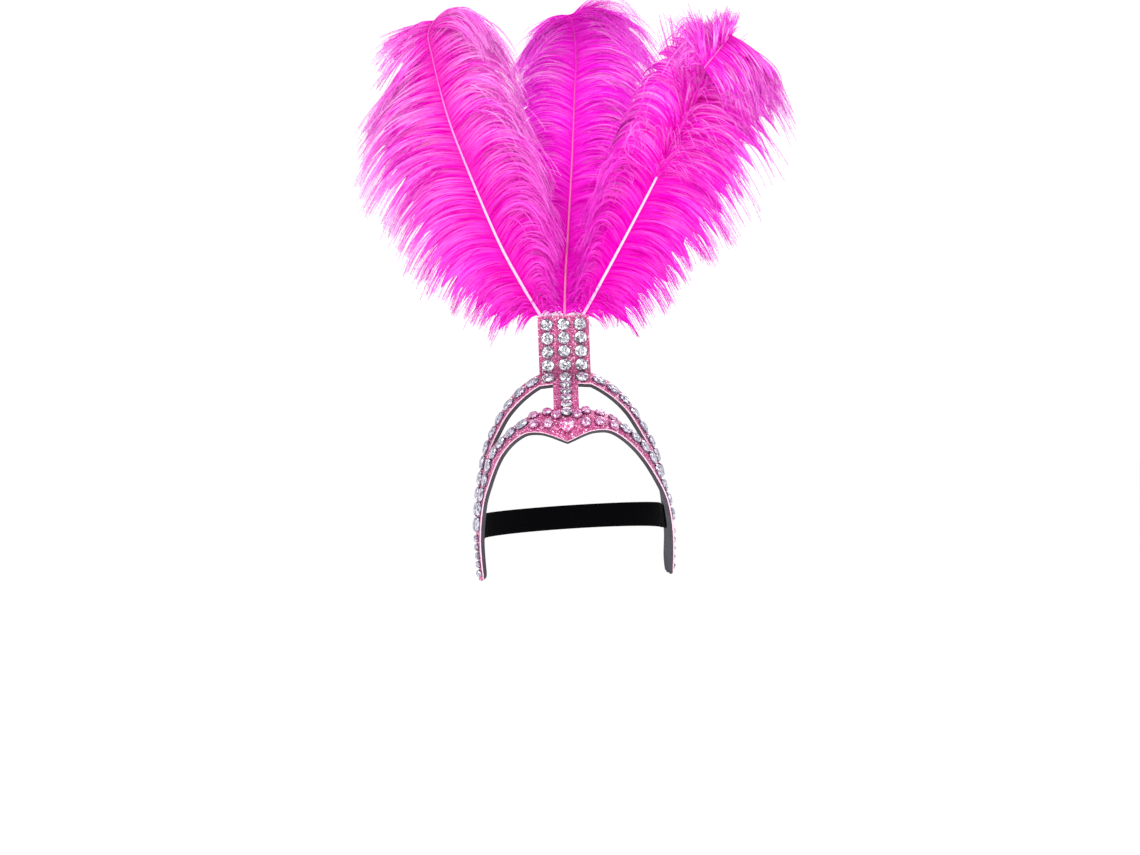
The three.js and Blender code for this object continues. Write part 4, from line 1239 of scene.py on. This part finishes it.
def add_strap(material):
    points, rises = strap_path()
    across = unit(np.cross(np.gradient(points, axis=0), rises))
    run = distances(points)
    columns = 10
    rows, uv = [], []
    for share in np.linspace(-0.5, 0.5, columns + 1):
        edge = 1 - 0.35 * (abs(share) > 0.49)
        for face in (-1, 1):
            rows.append(points + rises * (share * STRAP_WIDTH) + across * (face * STRAP_THICK / 2 * edge))
            uv.append(np.stack([run, np.full(len(run), share * STRAP_WIDTH)], 1))
    faces = strap_faces(columns, len(points))
    strap = solid("elastic_band", np.vstack(rows), faces, [material], smooth=True)
    loops = np.zeros(len(strap.data.loops), np.int32)
    strap.data.loops.foreach_get("vertex_index", loops)
    unwrap(strap.data, "weave", np.vstack(uv)[loops])
    bevelled(strap, 0.3, 60)
    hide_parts("elastic_strap")


# Stage


def add_camera():
    data = bpy.data.cameras.new("photo_camera")
    data.sensor_width = 36
    data.lens = 36 * CAMERA_DISTANCE / PIXEL_AT_BROW / PHOTO_WIDTH
    data.clip_start, data.clip_end = 0.05, 50
    camera = linked("photo_camera", data)
    across = (PHOTO_WIDTH / 2 - BROW_POINT_PIXEL[0]) * PIXEL_AT_BROW
    down = (PHOTO_HEIGHT / 2 - BROW_POINT_PIXEL[1]) * PIXEL_AT_BROW
    spot = Vector(SHIFT) + Vector((across, -CAMERA_DISTANCE, -down))
    facing = Matrix.Rotation(math.radians(90), 4, "X") @ Matrix.Rotation(-CAMERA_ROLL, 4, "Z")
    camera.matrix_world = Matrix.Translation(spot * MM) @ facing
    bpy.context.scene.camera = camera


def add_area(name, place, size, power, colour=(1, 1, 1)):
    data = bpy.data.lights.new(name, "AREA")
    data.shape = "RECTANGLE"
    data.size, data.size_y = size
    data.energy = power
    data.color = colour
    light = linked(name, data)
    light.location = place
    target = Vector((0, 0.05, 0.1))
    light.rotation_euler = (target - light.location).to_track_quat("-Z", "Y").to_euler()


def add_studio():
    mesh = bpy.data.meshes.new("floor")
    r = FLOOR_REACH
    corners = [(x, y, FLOOR_HEIGHT) for x, y in ((-r, -r), (r, -r), (r, r), (-r, r))]
    mesh.from_pydata(corners, [], [(0, 1, 2, 3)])
    mesh.materials.append(floor_material())
    floor = linked("floor", mesh)
    add_area("key", (-1.1, -1.9, 1.5), (1.1, 1.1), 42)
    add_area("fill", (1.6, -1.6, 0.7), (1.2, 1.6), 20)
    add_area("back", (0.6, 1.9, 1.5), (1.6, 1.2), 26)
    bpy.context.scene.world = bpy.data.worlds.new("studio")
    g = Graph(bpy.context.scene.world, "Background")
    split = g.node("SeparateXYZ", {0: g.place("Generated")})
    levels = ((0, 1.05), (0.3, 1.05), (0.5, 0.75), (0.75, 0.75), (1, 1.2))
    g.set(Color=g.ramp(split.outputs["Z"], *((at, grey(level)) for at, level in levels)), Strength=1.0)
    bpy.context.scene.view_settings.view_transform = "Standard"


silver, lilac, rosy, heart_pink = (stone_material(name, *look) for name, look in STONE_LOOKS.items())

add_camera()
add_studio()
add_crown(glitter_material(), cut_edge_material(), foam_material())
plate_and_halo_stones(silver)
stem_stones(silver)
brow_stones(rosy, heart_pink)
row_stones(lilac)
add_plumes()
add_glue(glue_material())
add_strap(strap_material())
